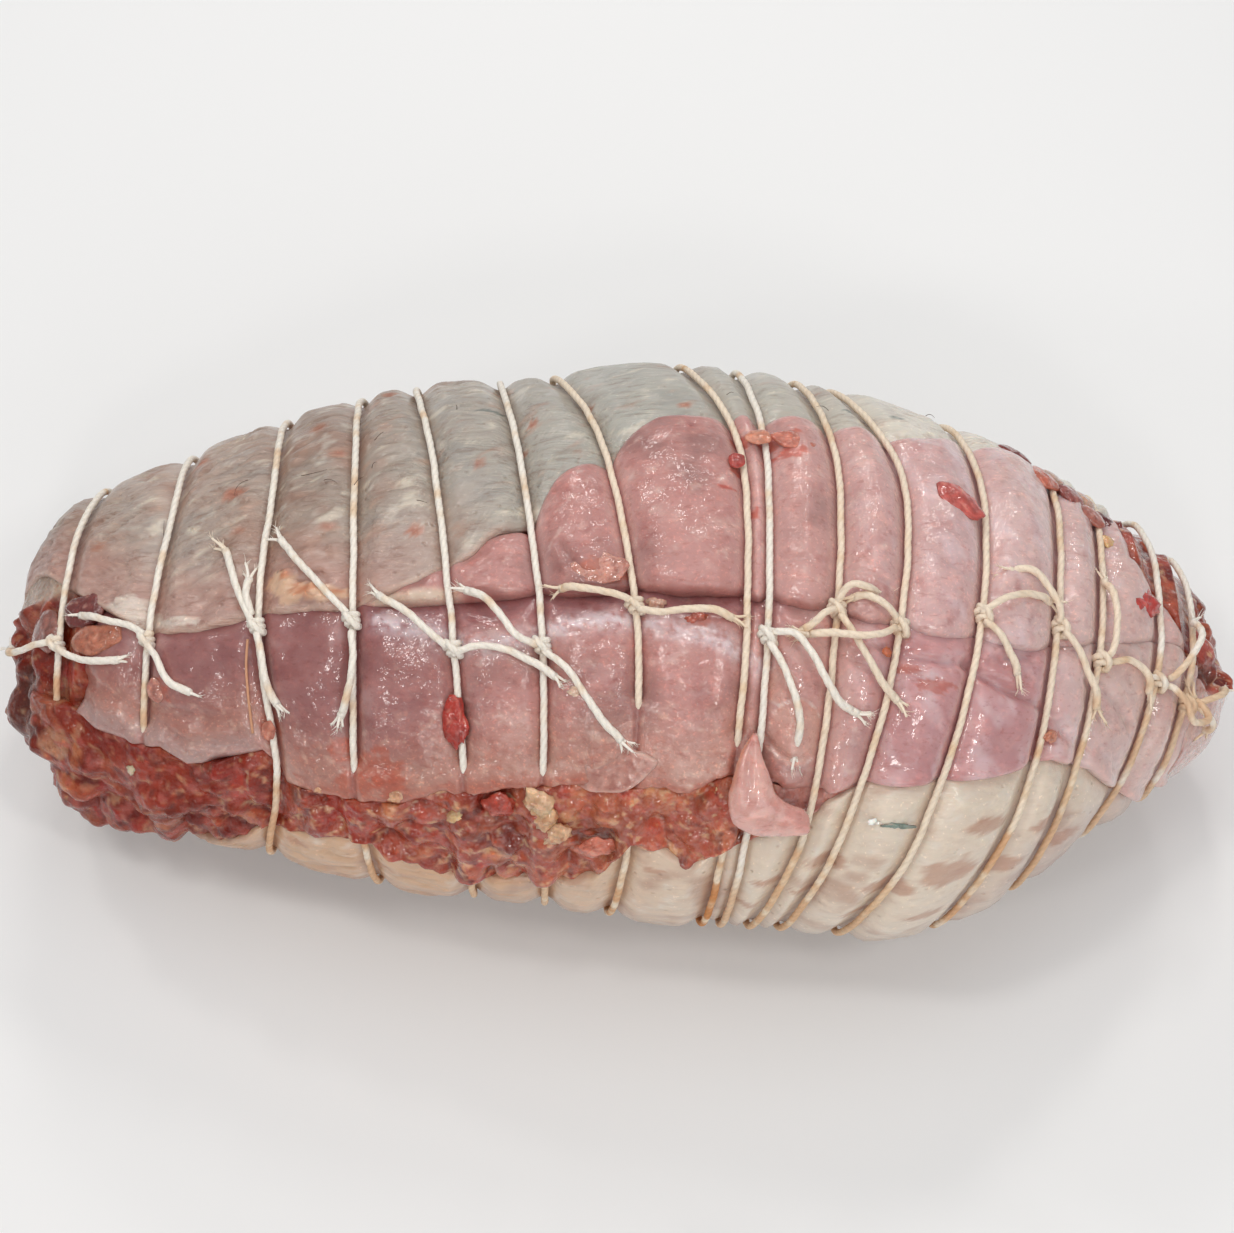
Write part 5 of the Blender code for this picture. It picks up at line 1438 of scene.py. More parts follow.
def scrap_mesh(name, rows, ragged, bent):
    """Small pieces of mince and fat stuck to the meat, in one mesh."""
    points, faces, paint, first = [], [], [], 0
    for place, along, around, thick, lift, turn, colour, seed in rows:
        x, angle = (np.array(float(value)) for value in place)
        up = normal(x, angle)
        middle = form(x, angle) + up * (lift - SCRAP_SINK)
        ahead = unit(np.cross(form(x, angle + 2) - form(x, angle), up))
        if ahead[0] < 0:
            ahead = -ahead
        side = np.cross(up, ahead)
        c, s = np.cos(np.radians(turn)), np.sin(np.radians(turn))
        ahead, side = c * ahead + s * side, c * side - s * ahead
        polar = np.pi * np.arange(1, SCRAP_RINGS) / SCRAP_RINGS
        spin = 2 * np.pi * np.arange(SCRAP_SIDES) / SCRAP_SIDES
        ball = np.stack([
            np.sin(polar)[:, None] * np.cos(spin), np.sin(polar)[:, None] * np.sin(spin),
            np.cos(polar)[:, None] + 0 * spin,
        ], -1)
        ball = np.concatenate([ball.reshape(-1, 3), [[0, 0, 1], [0, 0, -1]]])
        size = np.array([along, around, thick])
        local = ball * size
        size = 0.6 * min(along, around) + 0.4
        rough = ragged * fractal(local + seed * 9.7, 1.3 * size, seed, 2)
        rough = rough + 0.8 * ragged * fractal(local + seed * 3.1, 0.5 * size, seed + 20, 2)
        bend = [fractal(local + seed * 4.3, 2.2 * size, seed + 60 + m, 2) for m in range(2)]
        local = local * (1 + rough)[:, None]
        local[:, :2] += bent * size * np.stack(bend, -1)
        here = middle + local[:, :1] * ahead + local[:, 1:2] * side + local[:, 2:] * up
        patch = fractal(local + seed * 5.1, 1.3, seed + 40, 3)
        tone = mix(colour * 0.74, colour * 1.14, smooth(patch, -0.35, 0.35))
        tone = mix(tone, rgb(222, 178, 158), 0.45 * smooth(patch, 0.2, 0.5))
        index, after, quads = ring_quads(SCRAP_RINGS - 1, SCRAP_SIDES, flipped=True)
        quads = quads.tolist()
        quads += [(a, b, index.size) for a, b in zip(index[0].tolist(), after[0].tolist())]
        quads += [(a, b, index.size + 1) for a, b in zip(after[-1].tolist(), index[-1].tolist())]
        faces += [tuple(i + first for i in f) for f in quads]
        points.append(here)
        paint.append(tone)
        first += len(here)
    return make_mesh(name, np.concatenate(points), faces, np.concatenate(paint))


# Edges of the tab by station
TAB_EDGE = ((-13.5, 38.2), (-8.0, 39.4), (-2.5, 41.0), (1.5, 43.6), (4.6, 44.6), (8.7, 43.0))
TAB_FOOT = ((-13.5, 36.5), (-8.0, 34.8), (-2.5, 34.6), (1.5, 35.6), (4.6, 37.6), (8.7, 42.2))
TAB_ALONG = 90
TAB_ACROSS = 34
TAB_LIFT = 1.9
TAB_THICK = 1.0
TAB_GRAIN = 0.7


def tab_mesh():
    """Pointed tab of the front panel that laps over the seventh turn."""
    x = np.linspace(TAB_EDGE[0][0], TAB_EDGE[-1][0], TAB_ALONG)
    top = spline(*np.transpose(TAB_EDGE), x) + 5.0 * smooth(-x, -4.6, 0.0)
    foot = spline(*np.transpose(TAB_FOOT), x)
    share = np.linspace(0, 1, TAB_ACROSS)[:, None]
    angle = foot * (1 - share) + top * share
    base = form(x + 0 * share, angle)
    up = normal(x + 0 * share, angle)
    wave = 1.1 * fractal(base, 10.0, 304, 2) + 0.2 * fractal(base, 2.6, 523, 2)
    upper = TAB_LIFT + wave + 0.8 * smooth(x, -4, 5)
    inner = smooth(share, 0.45, 0.95) * smooth(-x, -3.5, 0.5)
    upper = upper - 3.2 * np.maximum(inner, smooth(-x, 5.0, 10.5) * (0 * share + 1))
    to_foot = share * (top - foot) * 1.05
    to_top = (1 - share) * (top - foot) * 1.05 + 4 * smooth(-x, -3.5, 0.5)
    rim = np.minimum(np.minimum(to_foot, to_top), x[-1] - x)
    upper = upper - rounded_edge(rim, TAB_THICK)
    above = base + up * upper[..., None]
    below = base + up * (upper - TAB_THICK * 2 + rounded_edge(rim, TAB_THICK) * 1.6)[..., None]
    fine = fractal(base, 1.6, 526, 3)
    colour = mix(rgb(194, 146, 134), rgb(172, 116, 104), smooth(fine, -0.3, 0.4))
    colour = mix(colour, rgb(214, 178, 166), 0.6 * smooth(-rim, -1.6, -0.2))
    paint = with_alpha(colour, np.full(colour.shape[:-1], TAB_GRAIN)).reshape(-1, 4)
    index, quads = sheet_quads(*above.shape[:2])
    quads = quads.reshape(-1, 4)
    faces = np.concatenate([quads, quads[:, ::-1] + index.size]).tolist()
    border = np.concatenate([index[0, :-1], index[:-1, -1], index[-1, :0:-1], index[:0:-1, 0]])
    beyond = np.roll(border, -1)
    walls = np.stack([border, beyond, beyond + index.size, border + index.size], -1)
    faces += walls[:, ::-1].tolist()
    points = np.concatenate([above.reshape(-1, 3), below.reshape(-1, 3)])
    return make_mesh("panel_tab", points, faces, np.concatenate([paint, paint]))


# Twine
TWINE_STEP = 0.6
TWINE_SIDES = 12
TWINE_RADIUS = 0.80
PLY_OFFSET = 0.14
PLY_RADIUS = 0.72
PLIES = 3
TWIST_PITCH = 7.4
TAIL_PITCH = 9.0
TAIL_SWELL = 0.14
TWINE_SEED = 77


def ply_profile(turn):
    """Radius of three touching strands at a turn from the nearest strand's crown."""
    span = 2 * np.pi / PLIES
    off = (turn + span / 2) % span - span / 2
    return PLY_OFFSET * np.cos(off) + np.sqrt(PLY_RADIUS**2 - (PLY_OFFSET * np.sin(off)) ** 2)


def resample(points, ups, step, closed):
    """Evenly spaced points on a line of points."""
    if closed:
        points = np.concatenate([points, points[:1]])
        ups = np.concatenate([ups, ups[:1]])
    length = np.concatenate([[0], np.cumsum(np.linalg.norm(np.diff(points, axis=0), axis=1))])
    count = max(3, int(round(length[-1] / step)))
    at = np.linspace(0, length[-1], count + 1)
    if closed:
        at = at[:-1]
    new = np.stack([np.interp(at, length, points[:, n]) for n in range(3)], -1)
    new_ups = np.stack([np.interp(at, length, ups[:, n]) for n in range(3)], -1)
    return new, new_ups, at, length[-1]


class Bundle:
    """Many tubes gathered into one mesh."""

    def __init__(self):
        self.points, self.faces, self.paint, self.first = [], [], [], 0

    def tube(self, points, ups, radii, sides, colour, closed=False, profile=None, spin=None):
        """Tube with a round or stranded section; its first side turns with spin."""
        n = len(points)
        if closed:
            along = np.roll(points, -1, axis=0) - np.roll(points, 1, axis=0)
        else:
            along = np.gradient(points, axis=0)
        along /= np.linalg.norm(along, axis=1, keepdims=True)
        side = np.cross(along, ups)
        side /= np.linalg.norm(side, axis=1, keepdims=True)
        up = np.cross(side, along)
        turn = 2 * np.pi * np.arange(sides) / sides
        shape = np.ones(sides) if profile is None else profile(turn)
        whole = turn[None, :] + (0 if spin is None else spin[:, None])
        size = (np.asarray(radii) * np.ones(n))[:, None] * shape[None, :]
        ring = (
            points[:, None]
            + (size * np.cos(whole))[..., None] * up[:, None]
            + (size * np.sin(whole))[..., None] * side[:, None]
        )
        index, after, quads = (grid + self.first for grid in ring_quads(n, sides, flipped=True))
        self.faces += quads.tolist()
        if closed:
            self.faces += np.stack([index[-1], index[0], after[0], after[-1]], -1).tolist()
        else:
            self.faces += [tuple(index[0].tolist()), tuple(index[-1][::-1].tolist())]
        self.points.append(ring.reshape(-1, 3))
        tone = np.asarray(colour) * np.ones((n, 1)) if np.ndim(colour) == 1 else np.asarray(colour)
        if profile is not None:
            # painted shade in the grooves between the plies
            ply_shade = (shape - shape.min()) / (shape.max() - shape.min())
            tone = tone[:, None] * (0.88 + 0.12 * ply_shade[None, :, None])
        else:
            tone = np.repeat(tone[:, None], sides, axis=1)
        self.paint.append(tone.reshape(-1, 3))
        self.first += n * sides

    def twine(self, points, ups, colour_of, closed=False, pitch=TWIST_PITCH, grow=0.0):
        """Three twisted strands along a line."""
        points, ups, at, length = resample(points, ups, TWINE_STEP, closed)
        turns = max(1, round(length / pitch * PLIES)) / PLIES
        spin = 2 * np.pi * turns * at / length
        radii = np.ones(len(points)) * TWINE_RADIUS / (PLY_OFFSET + PLY_RADIUS)
        radii *= 1 + 0.07 * fractal(points, 3.0, 91, 2)
        radii *= 1 + grow * smooth(at, length * 0.3, length)
        self.tube(points, ups, radii, TWINE_SIDES, colour_of(points), closed, ply_profile, spin)
        return points, ups, spin

    def make(self, name):
        return make_mesh(name, np.concatenate(self.points), self.faces, np.concatenate(self.paint))


TWINE_CREAM = rgb(248, 230, 208)
TWINE_WHITE = rgb(252, 244, 232)
TWINE_WET = rgb(234, 200, 160)
TWINE_STAINED = rgb(214, 146, 92)
STRING_TONES = {
    # colour and share of stains
    1: (TWINE_WHITE, 0.5), 2: (TWINE_WHITE, 0.35), 3: (TWINE_WHITE, 0.5), 4: (TWINE_WHITE, 0.5),
    5: (TWINE_WHITE, 0.3), 6: (TWINE_WHITE, 0.2), 7: (TWINE_CREAM, 0.6), 8: (TWINE_CREAM, 1.0),
    9: (TWINE_WHITE, 0.3), 10: (TWINE_CREAM, 0.4), 11: (TWINE_CREAM, 0.4), 12: (TWINE_CREAM, 0.3),
    13: (TWINE_CREAM, 0.5), 14: (TWINE_CREAM, 0.3), 15: (TWINE_WHITE, 0.3), 16: (TWINE_WHITE, 0.2),
}
# Loose ends of each string, as places from the knot outwards
TAILS = {
    1: (
        ((-124.0, 67.5), (-126.8, 66.2), (-129.8, 64.2), (-133.3, 62.8), (-137.4, 64.8)),
        ((-122.8, 65.6), (-119.3, 62.8), (-115.8, 61.5), (-112.0, 61.3), (-108.0, 62.2)),
    ),
    2: (
        ((-102.0, 69.4), (-105.3, 72.0), (-109.3, 73.5), (-113.8, 75.2), (-118.3, 76.8)),
        ((-101.2, 66.4), (-98.8, 62.5), (-97.0, 58.3), (-94.8, 54.5), (-91.3, 52.3)),
    ),
    3: (
        ((-77.4, 70.0), (-79.6, 75.0), (-81.3, 79.8), (-83.1, 85.0), (-85.0, 89.2)),
        ((-76.4, 67.5), (-74.8, 62.2), (-73.8, 57.2), (-73.1, 53.2), (-71.6, 49.5)),
        ((-77.6, 72.0), (-78.6, 76.5), (-78.9, 81.0)),
    ),
    4: (
        ((-56.6, 71.5), (-60.8, 75.8), (-64.3, 79.8), (-68.1, 84.2), (-72.3, 89.5)),
        ((-55.6, 67.5), (-54.4, 61.5), (-54.8, 57.0), (-56.2, 52.3), (-57.8, 48.2)),
    ),
    5: (
        ((-35.5, 64.6), (-37.8, 66.4), (-41.1, 69.2), (-45.3, 72.4), (-50.0, 75.2)),
        ((-34.2, 63.0), (-29.6, 64.6), (-24.4, 64.4), (-18.1, 62.2), (-12.4, 59.0)),
    ),
    6: (
        ((-16.6, 65.2), (-20.6, 66.8), (-23.4, 70.2), (-26.6, 73.7), (-31.6, 76.2)),
        ((-15.2, 64.2), (-9.9, 60.5), (-5.6, 54.5), (-2.4, 50.2), (1.4, 46.4)),
    ),
    7: (
        ((3.0, 73.8), (-1.1, 74.8), (-4.6, 75.4), (-8.1, 76.0), (-11.9, 76.5)),
        ((4.6, 72.2), (8.9, 71.6), (13.1, 72.2), (18.4, 72.8), (24.1, 71.8)),
    ),
    9: (
        ((31.4, 67.8), (33.8, 64.2), (35.7, 59.8), (37.3, 55.0), (37.2, 50.3), (36.6, 45.8)),
        ((32.4, 69.8), (36.3, 69.6), (39.9, 65.9), (43.4, 60.8), (46.2, 57.6), (49.8, 56.4)),
    ),
    10: (
        ((45.6, 77.0), (47.8, 79.6), (50.8, 80.2), (54.6, 80.6)),
        ((45.4, 75.8), (42.6, 73.9), (40.2, 72.0), (38.2, 70.9)),
        ((46.4, 75.0), (49.1, 70.8), (52.1, 66.0), (54.8, 63.0), (57.8, 60.0)),
    ),
    11: (
        ((58.0, 76.2), (54.6, 77.6), (51.3, 78.8), (48.6, 78.6)),
        ((57.6, 74.4), (54.8, 72.2), (50.8, 70.8), (45.3, 70.6), (38.8, 70.2)),
    ),
    12: (
        ((76.6, 79.6), (80.8, 82.0), (86.3, 83.4), (92.6, 83.2)),
        ((77.2, 77.6), (80.0, 74.0), (82.4, 69.6), (84.0, 65.6)),
    ),
    13: (
        ((94.2, 78.4), (92.3, 83.0), (90.3, 86.5), (87.6, 89.0), (83.6, 89.6)),
        ((95.4, 75.8), (98.3, 69.8), (100.8, 62.2), (103.0, 53.0)),
    ),
    14: (
        ((106.2, 68.6), (107.0, 74.0), (107.5, 83.0), (107.2, 92.0)),
        ((107.0, 66.4), (111.0, 66.8), (114.0, 64.2), (115.5, 59.8), (116.8, 54.6)),
    ),
    15: (
        ((121.8, 59.4), (124.6, 66.0), (127.6, 76.0), (130.4, 90.0)),
        ((121.5, 56.6), (123.8, 50.0), (126.4, 40.5), (128.2, 40.5), (128.8, 52.0)),
    ),
    16: (
        ((129.4, 48.4), (132.2, 52.0), (135.8, 56.0), (138.2, 57.5)),
        ((129.2, 46.4), (131.0, 39.0), (132.6, 30.0)),
    ),
}
# Extra height of a loose end, by string and end
TAIL_LIFTS = {
    (1, 0): 1.6, (4, 1): 1.0, (6, 0): 1.4, (7, 0): 1.2, (9, 0): 1.2, (9, 1): 2.6, (10, 0): 2.4,
    (10, 1): 1.6, (10, 2): 1.4, (11, 0): 2.0, (11, 1): 3.0, (12, 0): 1.6, (13, 0): 1.4,
    (15, 0): 2.2, (15, 1): 2.4, (16, 0): 1.6, (16, 1): 1.6, (14, 0): 1.2,
}
TAIL_BASE = 1.35
TAIL_ARCH = 1.2
TAIL_POINTS = 60
TAIL_WANDER = 0.35
LOOP_POINTS = 420
LOOP_WANDER = 0.22
KNOT_RISE = 0.35
WRAP_POINTS = 60
WRAP_TURNS = 2.1
BRIDGE_POINTS = 24
FRAY_LENGTH = 2.6
FRAY_POINTS = 9
FRAY_RADIUS = 0.44
FIBRE_POINTS = 5
FIBRE_RADIUS = 0.09
FIBRES_PER_END = 7


def string_line(k):
    """Line of a tied loop in its groove with the outward direction."""
    angles = np.linspace(-90, 270, LOOP_POINTS, endpoint=False)
    x = station(np.full(len(angles), float(k)), angles)
    rise = groove_floor(x, angles) + STRING_RISE
    up = normal(x, angles)
    points = form(x, angles) + up * rise[:, None]
    points[:, 0] += LOOP_WANDER * noise(points / 7.0, 95 + k)
    return points, up


def twine_colour(k):
    """Colour of a string over its points, wetter and more stained low in front."""
    base, stain = STRING_TONES[k]

    def colour_of(points):
        patch = fractal(points, 6.0, 600 + k, 3)
        fine = fractal(points, 0.9, 640 + k, 2)
        low = smooth(-points[:, 2], -78, -52) * smooth(-points[:, 1], -10, 25)
        mixed = mix(base, TWINE_WET, 0.75 * smooth(patch + 0.6 * low, 0.05, 0.55))
        mixed = mix(mixed, TWINE_STAINED, stain * smooth(patch + 0.7 * low, 0.35, 0.8))
        return mixed * (1 + 0.10 * fine)[:, None]

    return colour_of


def smooth_path(points, count):
    """Rounded line through a few points."""
    points = np.asarray(points, float)
    length = np.concatenate([[0], np.cumsum(np.linalg.norm(np.diff(points, axis=0), axis=1))])
    at = np.linspace(0, length[-1], count)
    return np.stack([spline(length, points[:, n], at) for n in range(points.shape[1])], -1)


def fray(bundle, tip, ahead, up, spin, colour, draw):
    """The strands of a cut end drawn apart, with a few loose fibres."""
    side = unit(np.cross(ahead, up))
    up = np.cross(side, ahead)
    for ply in range(PLIES):
        turn = spin + 2 * np.pi * ply / PLIES
        out = np.cos(turn) * up + np.sin(turn) * side
        out = out - 0.6 * np.minimum(out @ up, 0) * up
        reach = FRAY_LENGTH * draw.uniform(0.6, 1.2)
        spread = draw.uniform(0.25, 0.65)
        s = np.linspace(0, 1, FRAY_POINTS)[:, None]
        curl = draw.uniform(-0.5, 0.5) * side
        line = tip - ahead * 0.8 + out * 0.36 + s * (ahead * (reach + 0.8))
        line = line + s**2 * reach * (out * spread + curl)
        ups = np.tile(up, (FRAY_POINTS, 1))
        bundle.tube(line, ups, FRAY_RADIUS * (1 - 0.45 * s[:, 0]), 6, colour)
        s = s[:FIBRE_POINTS] * 2
        for _ in range(FIBRES_PER_END):
            lean = out * draw.uniform(-0.2, 1.0) + side * draw.uniform(-0.9, 0.9)
            lean = lean + up * draw.uniform(-0.1, 0.6)
            start = line[draw.integers(FIBRE_POINTS - 1, FRAY_POINTS)]
            away = draw.uniform(0.8, 2.0)
            hair = start + s * (ahead * away) + s**2 * lean * away * 0.7
            thin = FIBRE_RADIUS * (1 - 0.6 * s[:, 0])
            bundle.tube(hair, ups[:FIBRE_POINTS], thin, 3, colour * 1.05)


def knot(bundle, k, colour_of):
    """Overhand knot drawn tight: two wraps and a strand across them."""
    angle = np.array([float(KNOT_ANGLES[k - 1])])
    x = station(np.full(1, float(k)), angle)
    up = normal(x, angle)[0]
    middle = form(x, angle)[0] + up * (groove_floor(x, angle)[0] + STRING_RISE + KNOT_RISE)
    after = form(station(np.full(1, float(k)), angle + 2), angle + 2)[0]
    along = after - form(x, angle)[0]
    along = unit(along - up * (along @ up))
    side = np.cross(along, up)
    s = np.linspace(0, 1, WRAP_POINTS)[:, None]
    turn = 2 * np.pi * (WRAP_TURNS * s + 0.15)
    lean = 0.35 * np.sin(2 * np.pi * s)
    wrap = (
        middle + along * (-1.35 + 2.7 * s) + side * (1.28 * np.sin(turn) + lean)
        + up * (1.22 * np.cos(turn) + 0.25)
    )
    out = side * np.sin(turn) + up * np.cos(turn)
    bundle.twine(wrap, out, colour_of)
    s = np.linspace(0, 1, BRIDGE_POINTS)[:, None]
    bridge = (
        middle + along * (1.9 - 3.4 * s) + side * (-1.5 + 3.0 * s)
        + up * (0.4 + 2.05 * np.sin(np.pi * s) ** 0.8)
    )
    bundle.twine(bridge, np.tile(up, (BRIDGE_POINTS, 1)) + 0.3 * side, colour_of)


def string_mesh(k):
    """One loop of twine with its knot and loose ends."""
    draw = np.random.default_rng(TWINE_SEED + k)
    bundle = Bundle()
    colour_of = twine_colour(k)
    points, ups = string_line(k)
    bundle.twine(points, ups, colour_of, closed=True)
    if k != KNOTLESS:
        knot(bundle, k, colour_of)
    for n, tail in enumerate(TAILS.get(k, ())):
        places = smooth_path(tail, TAIL_POINTS)
        x, angle = places[:, 0], places[:, 1]
        up = normal(x, angle)
        s = np.linspace(0, 1, TAIL_POINTS)
        lift = TAIL_LIFTS.get((k, n), 0.0)
        arch = np.sqrt(np.sin(np.pi * np.minimum(1.0, s * 1.08)).clip(0))
        height = TAIL_BASE + (TAIL_ARCH + lift) * arch + 0.25 * np.sin(s * 9 + k)
        line = form(x, angle) + up * height[:, None]
        wander = np.stack([noise(line / 4.5, 120 + m + k) for m in range(3)], -1)
        line += TAIL_WANDER * s[:, None] * wander
        fine, fine_up, spin = bundle.twine(line, up, colour_of, False, TAIL_PITCH, TAIL_SWELL)
        ahead = unit(fine[-1] - fine[-4])
        fray(bundle, fine[-1], ahead, fine_up[-1], spin[-1], colour_of(fine[-1:])[0], draw)
    if k == STRAND_STRING:
        strand(bundle)
    return bundle.make(f"twine_{k:02d}")


HAIRS = (
    # station, angle, length, direction in degrees, bend
    (-99.8, 97.0, 4.6, 80, 0.5), (-69.5, 106.0, 6.5, -25, 0.9), (-64.0, 103.0, 4.0, -10, -0.6),
    (-81.0, 109.0, 5.5, 200, 1.2), (-53.5, 113.0, 3.6, 30, 0.8), (-53.2, 104.0, 2.2, 75, -0.5),
    (-57.0, 100.0, 3.0, 35, 0.3), (-35.6, 122.0, 2.2, 85, 0.4), (-43.0, 95.0, 2.6, -40, 0.7),
    (24.0, 123.0, 2.4, 20, 0.6), (47.0, 124.0, 3.0, 150, 0.5), (70.0, 140.0, 3.4, 60, -0.6),
)
HAIR_POINTS = 12
HAIR_RADIUS = 0.09
HAIR_LIFT = 1.3
STRAND = ((-78.6, 66.0), (-78.8, 60.0), (-78.4, 53.0), (-77.8, 46.0), (-77.4, 41.5))
STRAND_STRING = 3
STRAND_POINTS = 40
STRAND_RADIUS = 0.30
STRAND_LIFT = 0.9


def hair_mesh():
    """A few short hairs left on the skin."""
    bundle = Bundle()
    s = np.linspace(0, 1, HAIR_POINTS)
    for x, angle, length, turn, bend in HAIRS:
        heading = np.radians(turn) + bend * s
        step = length / HAIR_POINTS
        xs = x + step * np.cumsum(np.cos(heading))
        girth = float(spline(STATIONS, HALF_WIDTHS, np.array([x]))[0]) * np.pi / 180
        angles = angle + step * np.cumsum(np.sin(heading)) / girth
        up = normal(xs, angles)
        line = form(xs, angles) + up * (HAIR_LIFT + 0.5 * np.sin(np.pi * s))[:, None]
        bundle.tube(line, up, HAIR_RADIUS * (1 - 0.6 * s), 5, rgb(84, 66, 54))
    return bundle.make("skin_hairs")


def strand(bundle):
    """Thin stained strand of twine left beside the third loop."""
    places = smooth_path(STRAND, STRAND_POINTS)
    up = normal(places[:, 0], places[:, 1])
    line = form(places[:, 0], places[:, 1]) + up * STRAND_LIFT
    bundle.tube(line, up, np.full(STRAND_POINTS, STRAND_RADIUS), 8, rgb(208, 154, 122))


# Materials
class Nodes:
    """Short way to write a node tree."""

    def __init__(self, name):
        self.material = bpy.data.materials.new(name)
        self.material.use_nodes = True
        self.tree = self.material.node_tree
        self.shader = self.tree.nodes["Principled BSDF"]
        self.place = self.add("ShaderNodeTexCoord").outputs["Object"]
        self.lean = 0.0

    def add(self, kind, **values):
        """New node; a value is one of its properties, or else what an input of that name gets."""
        node = self.tree.nodes.new(kind)
        for key, value in values.items():
            if hasattr(node, key):
                setattr(node, key, value)
            else:
                self.fill(node.inputs[key.replace("_", " ")], value)
        return node

    def fill(self, socket, value):
        """Links a socket to an input, or sets the input to a plain value."""
        if isinstance(value, bpy.types.NodeSocket):
            self.tree.links.new(value, socket)
        else:
            socket.default_value = value

    def noise(self, scale, detail=3.0, rough=0.55, stretch=None):
        place = self.stretched(stretch)
        values = {"Scale": scale, "Detail": detail, "Roughness": rough, "Vector": place}
        return self.add("ShaderNodeTexNoise", **values).outputs["Fac"]

    def cells(self, scale, stretch=None):
        place = self.stretched(stretch)
        return self.add("ShaderNodeTexVoronoi", Scale=scale, Vector=place).outputs["Distance"]

    def stretched(self, stretch):
        if stretch is None:
            return self.place
        turned = (0.0, 0.0, -self.lean)
        values = {"Scale": stretch, "Rotation": turned, "Vector": self.place}
        return self.add("ShaderNodeMapping", **values).outputs["Vector"]

    def ramp(self, value, low, high, out_low=0.0, out_high=1.0):
        node = self.add(
            "ShaderNodeMapRange", interpolation_type="SMOOTHSTEP", Value=value,
            From_Min=low, From_Max=high, To_Min=out_low, To_Max=out_high,
        )
        return node.outputs["Result"]

    def times(self, a, b):
        node = self.add("ShaderNodeMath", operation="MULTIPLY")
        self.fill(node.inputs[0], a)
        self.fill(node.inputs[1], b)
        return node.outputs[0]

    def tint(self, colour, tone, share):
        """The colour multiplied by a tone, as far as the share says."""
        node = self.add("ShaderNodeMix", data_type="RGBA", blend_type="MULTIPLY")
        for socket, value in ((0, share), (6, colour), (7, (*tone, 1.0))):
            self.fill(node.inputs[socket], value)
        return node.outputs[2]

    def bump(self, heights, sockets=("Normal", "Coat Normal")):
        """Bump nodes one after another: height, distance in metres and strength."""
        last = None
        for height, distance, strength in heights:
            node = self.add("ShaderNodeBump", Strength=strength, Distance=distance, Height=height)
            if last is not None:
                self.fill(node.inputs["Normal"], last)
            last = node.outputs["Normal"]
        for socket in sockets:
            self.fill(self.shader.inputs[socket], last)

    def set(self, **values):
        """Values or sockets for the inputs of the shader."""
        for key, value in values.items():
            self.fill(self.shader.inputs[key.replace("_", " ")], value)


def painted(nodes):
    """Colour and alpha that the mesh carries."""
    node = nodes.add("ShaderNodeAttribute", attribute_name="paint")
    return node.outputs["Color"], node.outputs["Alpha"]


FLESH_LOOKS = {
    # roughness, coat, bumps, scatter, lean of the strands in degrees, their stretch
    "lobe_flesh": (0.38, 0.72, 1.0, 0.34, GRAIN_LEAN, 0.45),
    "panel_flesh": (0.34, 0.85, 0.9, 0.38, PANEL_LEAN, 0.75),
    "flap_flesh": (0.24, 1.0, 0.6, 0.4, 60.0, 0.5),
}
PALER = (1.20, 1.18, 1.14)


def flesh_material(name):
    """Wet translucent meat: fine strands, marbling and small glinting grains."""
    roughness, coat, bumpy, scatter, lean, stretch = FLESH_LOOKS[name]
    n = Nodes(name)
    n.lean = np.radians(lean)
    colour, wet = painted(n)
    marbling = n.noise(420.0, 4.0, 0.6, (stretch, 1.0, 1.0))
    colour = n.tint(colour, (1.20, 1.14, 1.10), n.ramp(marbling, 0.5, 0.70, 0.0, 0.8))
    threads = n.noise(900.0, 3.0, 0.6, (stretch * 0.7, 1.0, 1.0))
    colour = n.tint(colour, (0.80, 0.66, 0.64), n.ramp(threads, 0.54, 0.72, 0.0, 0.7))
    grains = n.times(n.ramp(n.noise(1500.0, 2.0, 0.5), 0.56, 0.70), wet)
    colour = n.tint(colour, (1.30, 1.24, 1.18), grains)
    blush = n.noise(170.0, 4.0, 0.6)
    colour = n.tint(colour, (0.84, 0.70, 0.69), n.ramp(blush, 0.52, 0.68, 0.0, 0.6))
    n.set(Base_Color=colour)
    dull = n.noise(260.0, 3.0, 0.5)
    n.set(Roughness=n.ramp(dull, 0.35, 0.65, roughness - 0.05, roughness + 0.14))
    n.set(Subsurface_Weight=scatter, Subsurface_Radius=(1.0, 0.34, 0.22), Subsurface_Scale=0.003)
    n.set(Coat_Weight=coat, Coat_Roughness=0.09, Coat_IOR=1.5, Specular_IOR_Level=0.4)
    film = n.noise(260.0, 3.0, 0.5)
    sparkle = n.noise(900.0, 2.0, 0.5)
    n.bump(((threads, 0.0002 * bumpy, 0.35), (film, 0.0004 * bumpy, 0.5)), ("Normal",))
    n.bump((
        (film, 0.0007 * bumpy, 0.7), (n.times(sparkle, wet), 0.0004 * bumpy, 0.8),
    ), ("Coat Normal",))
    return n.material


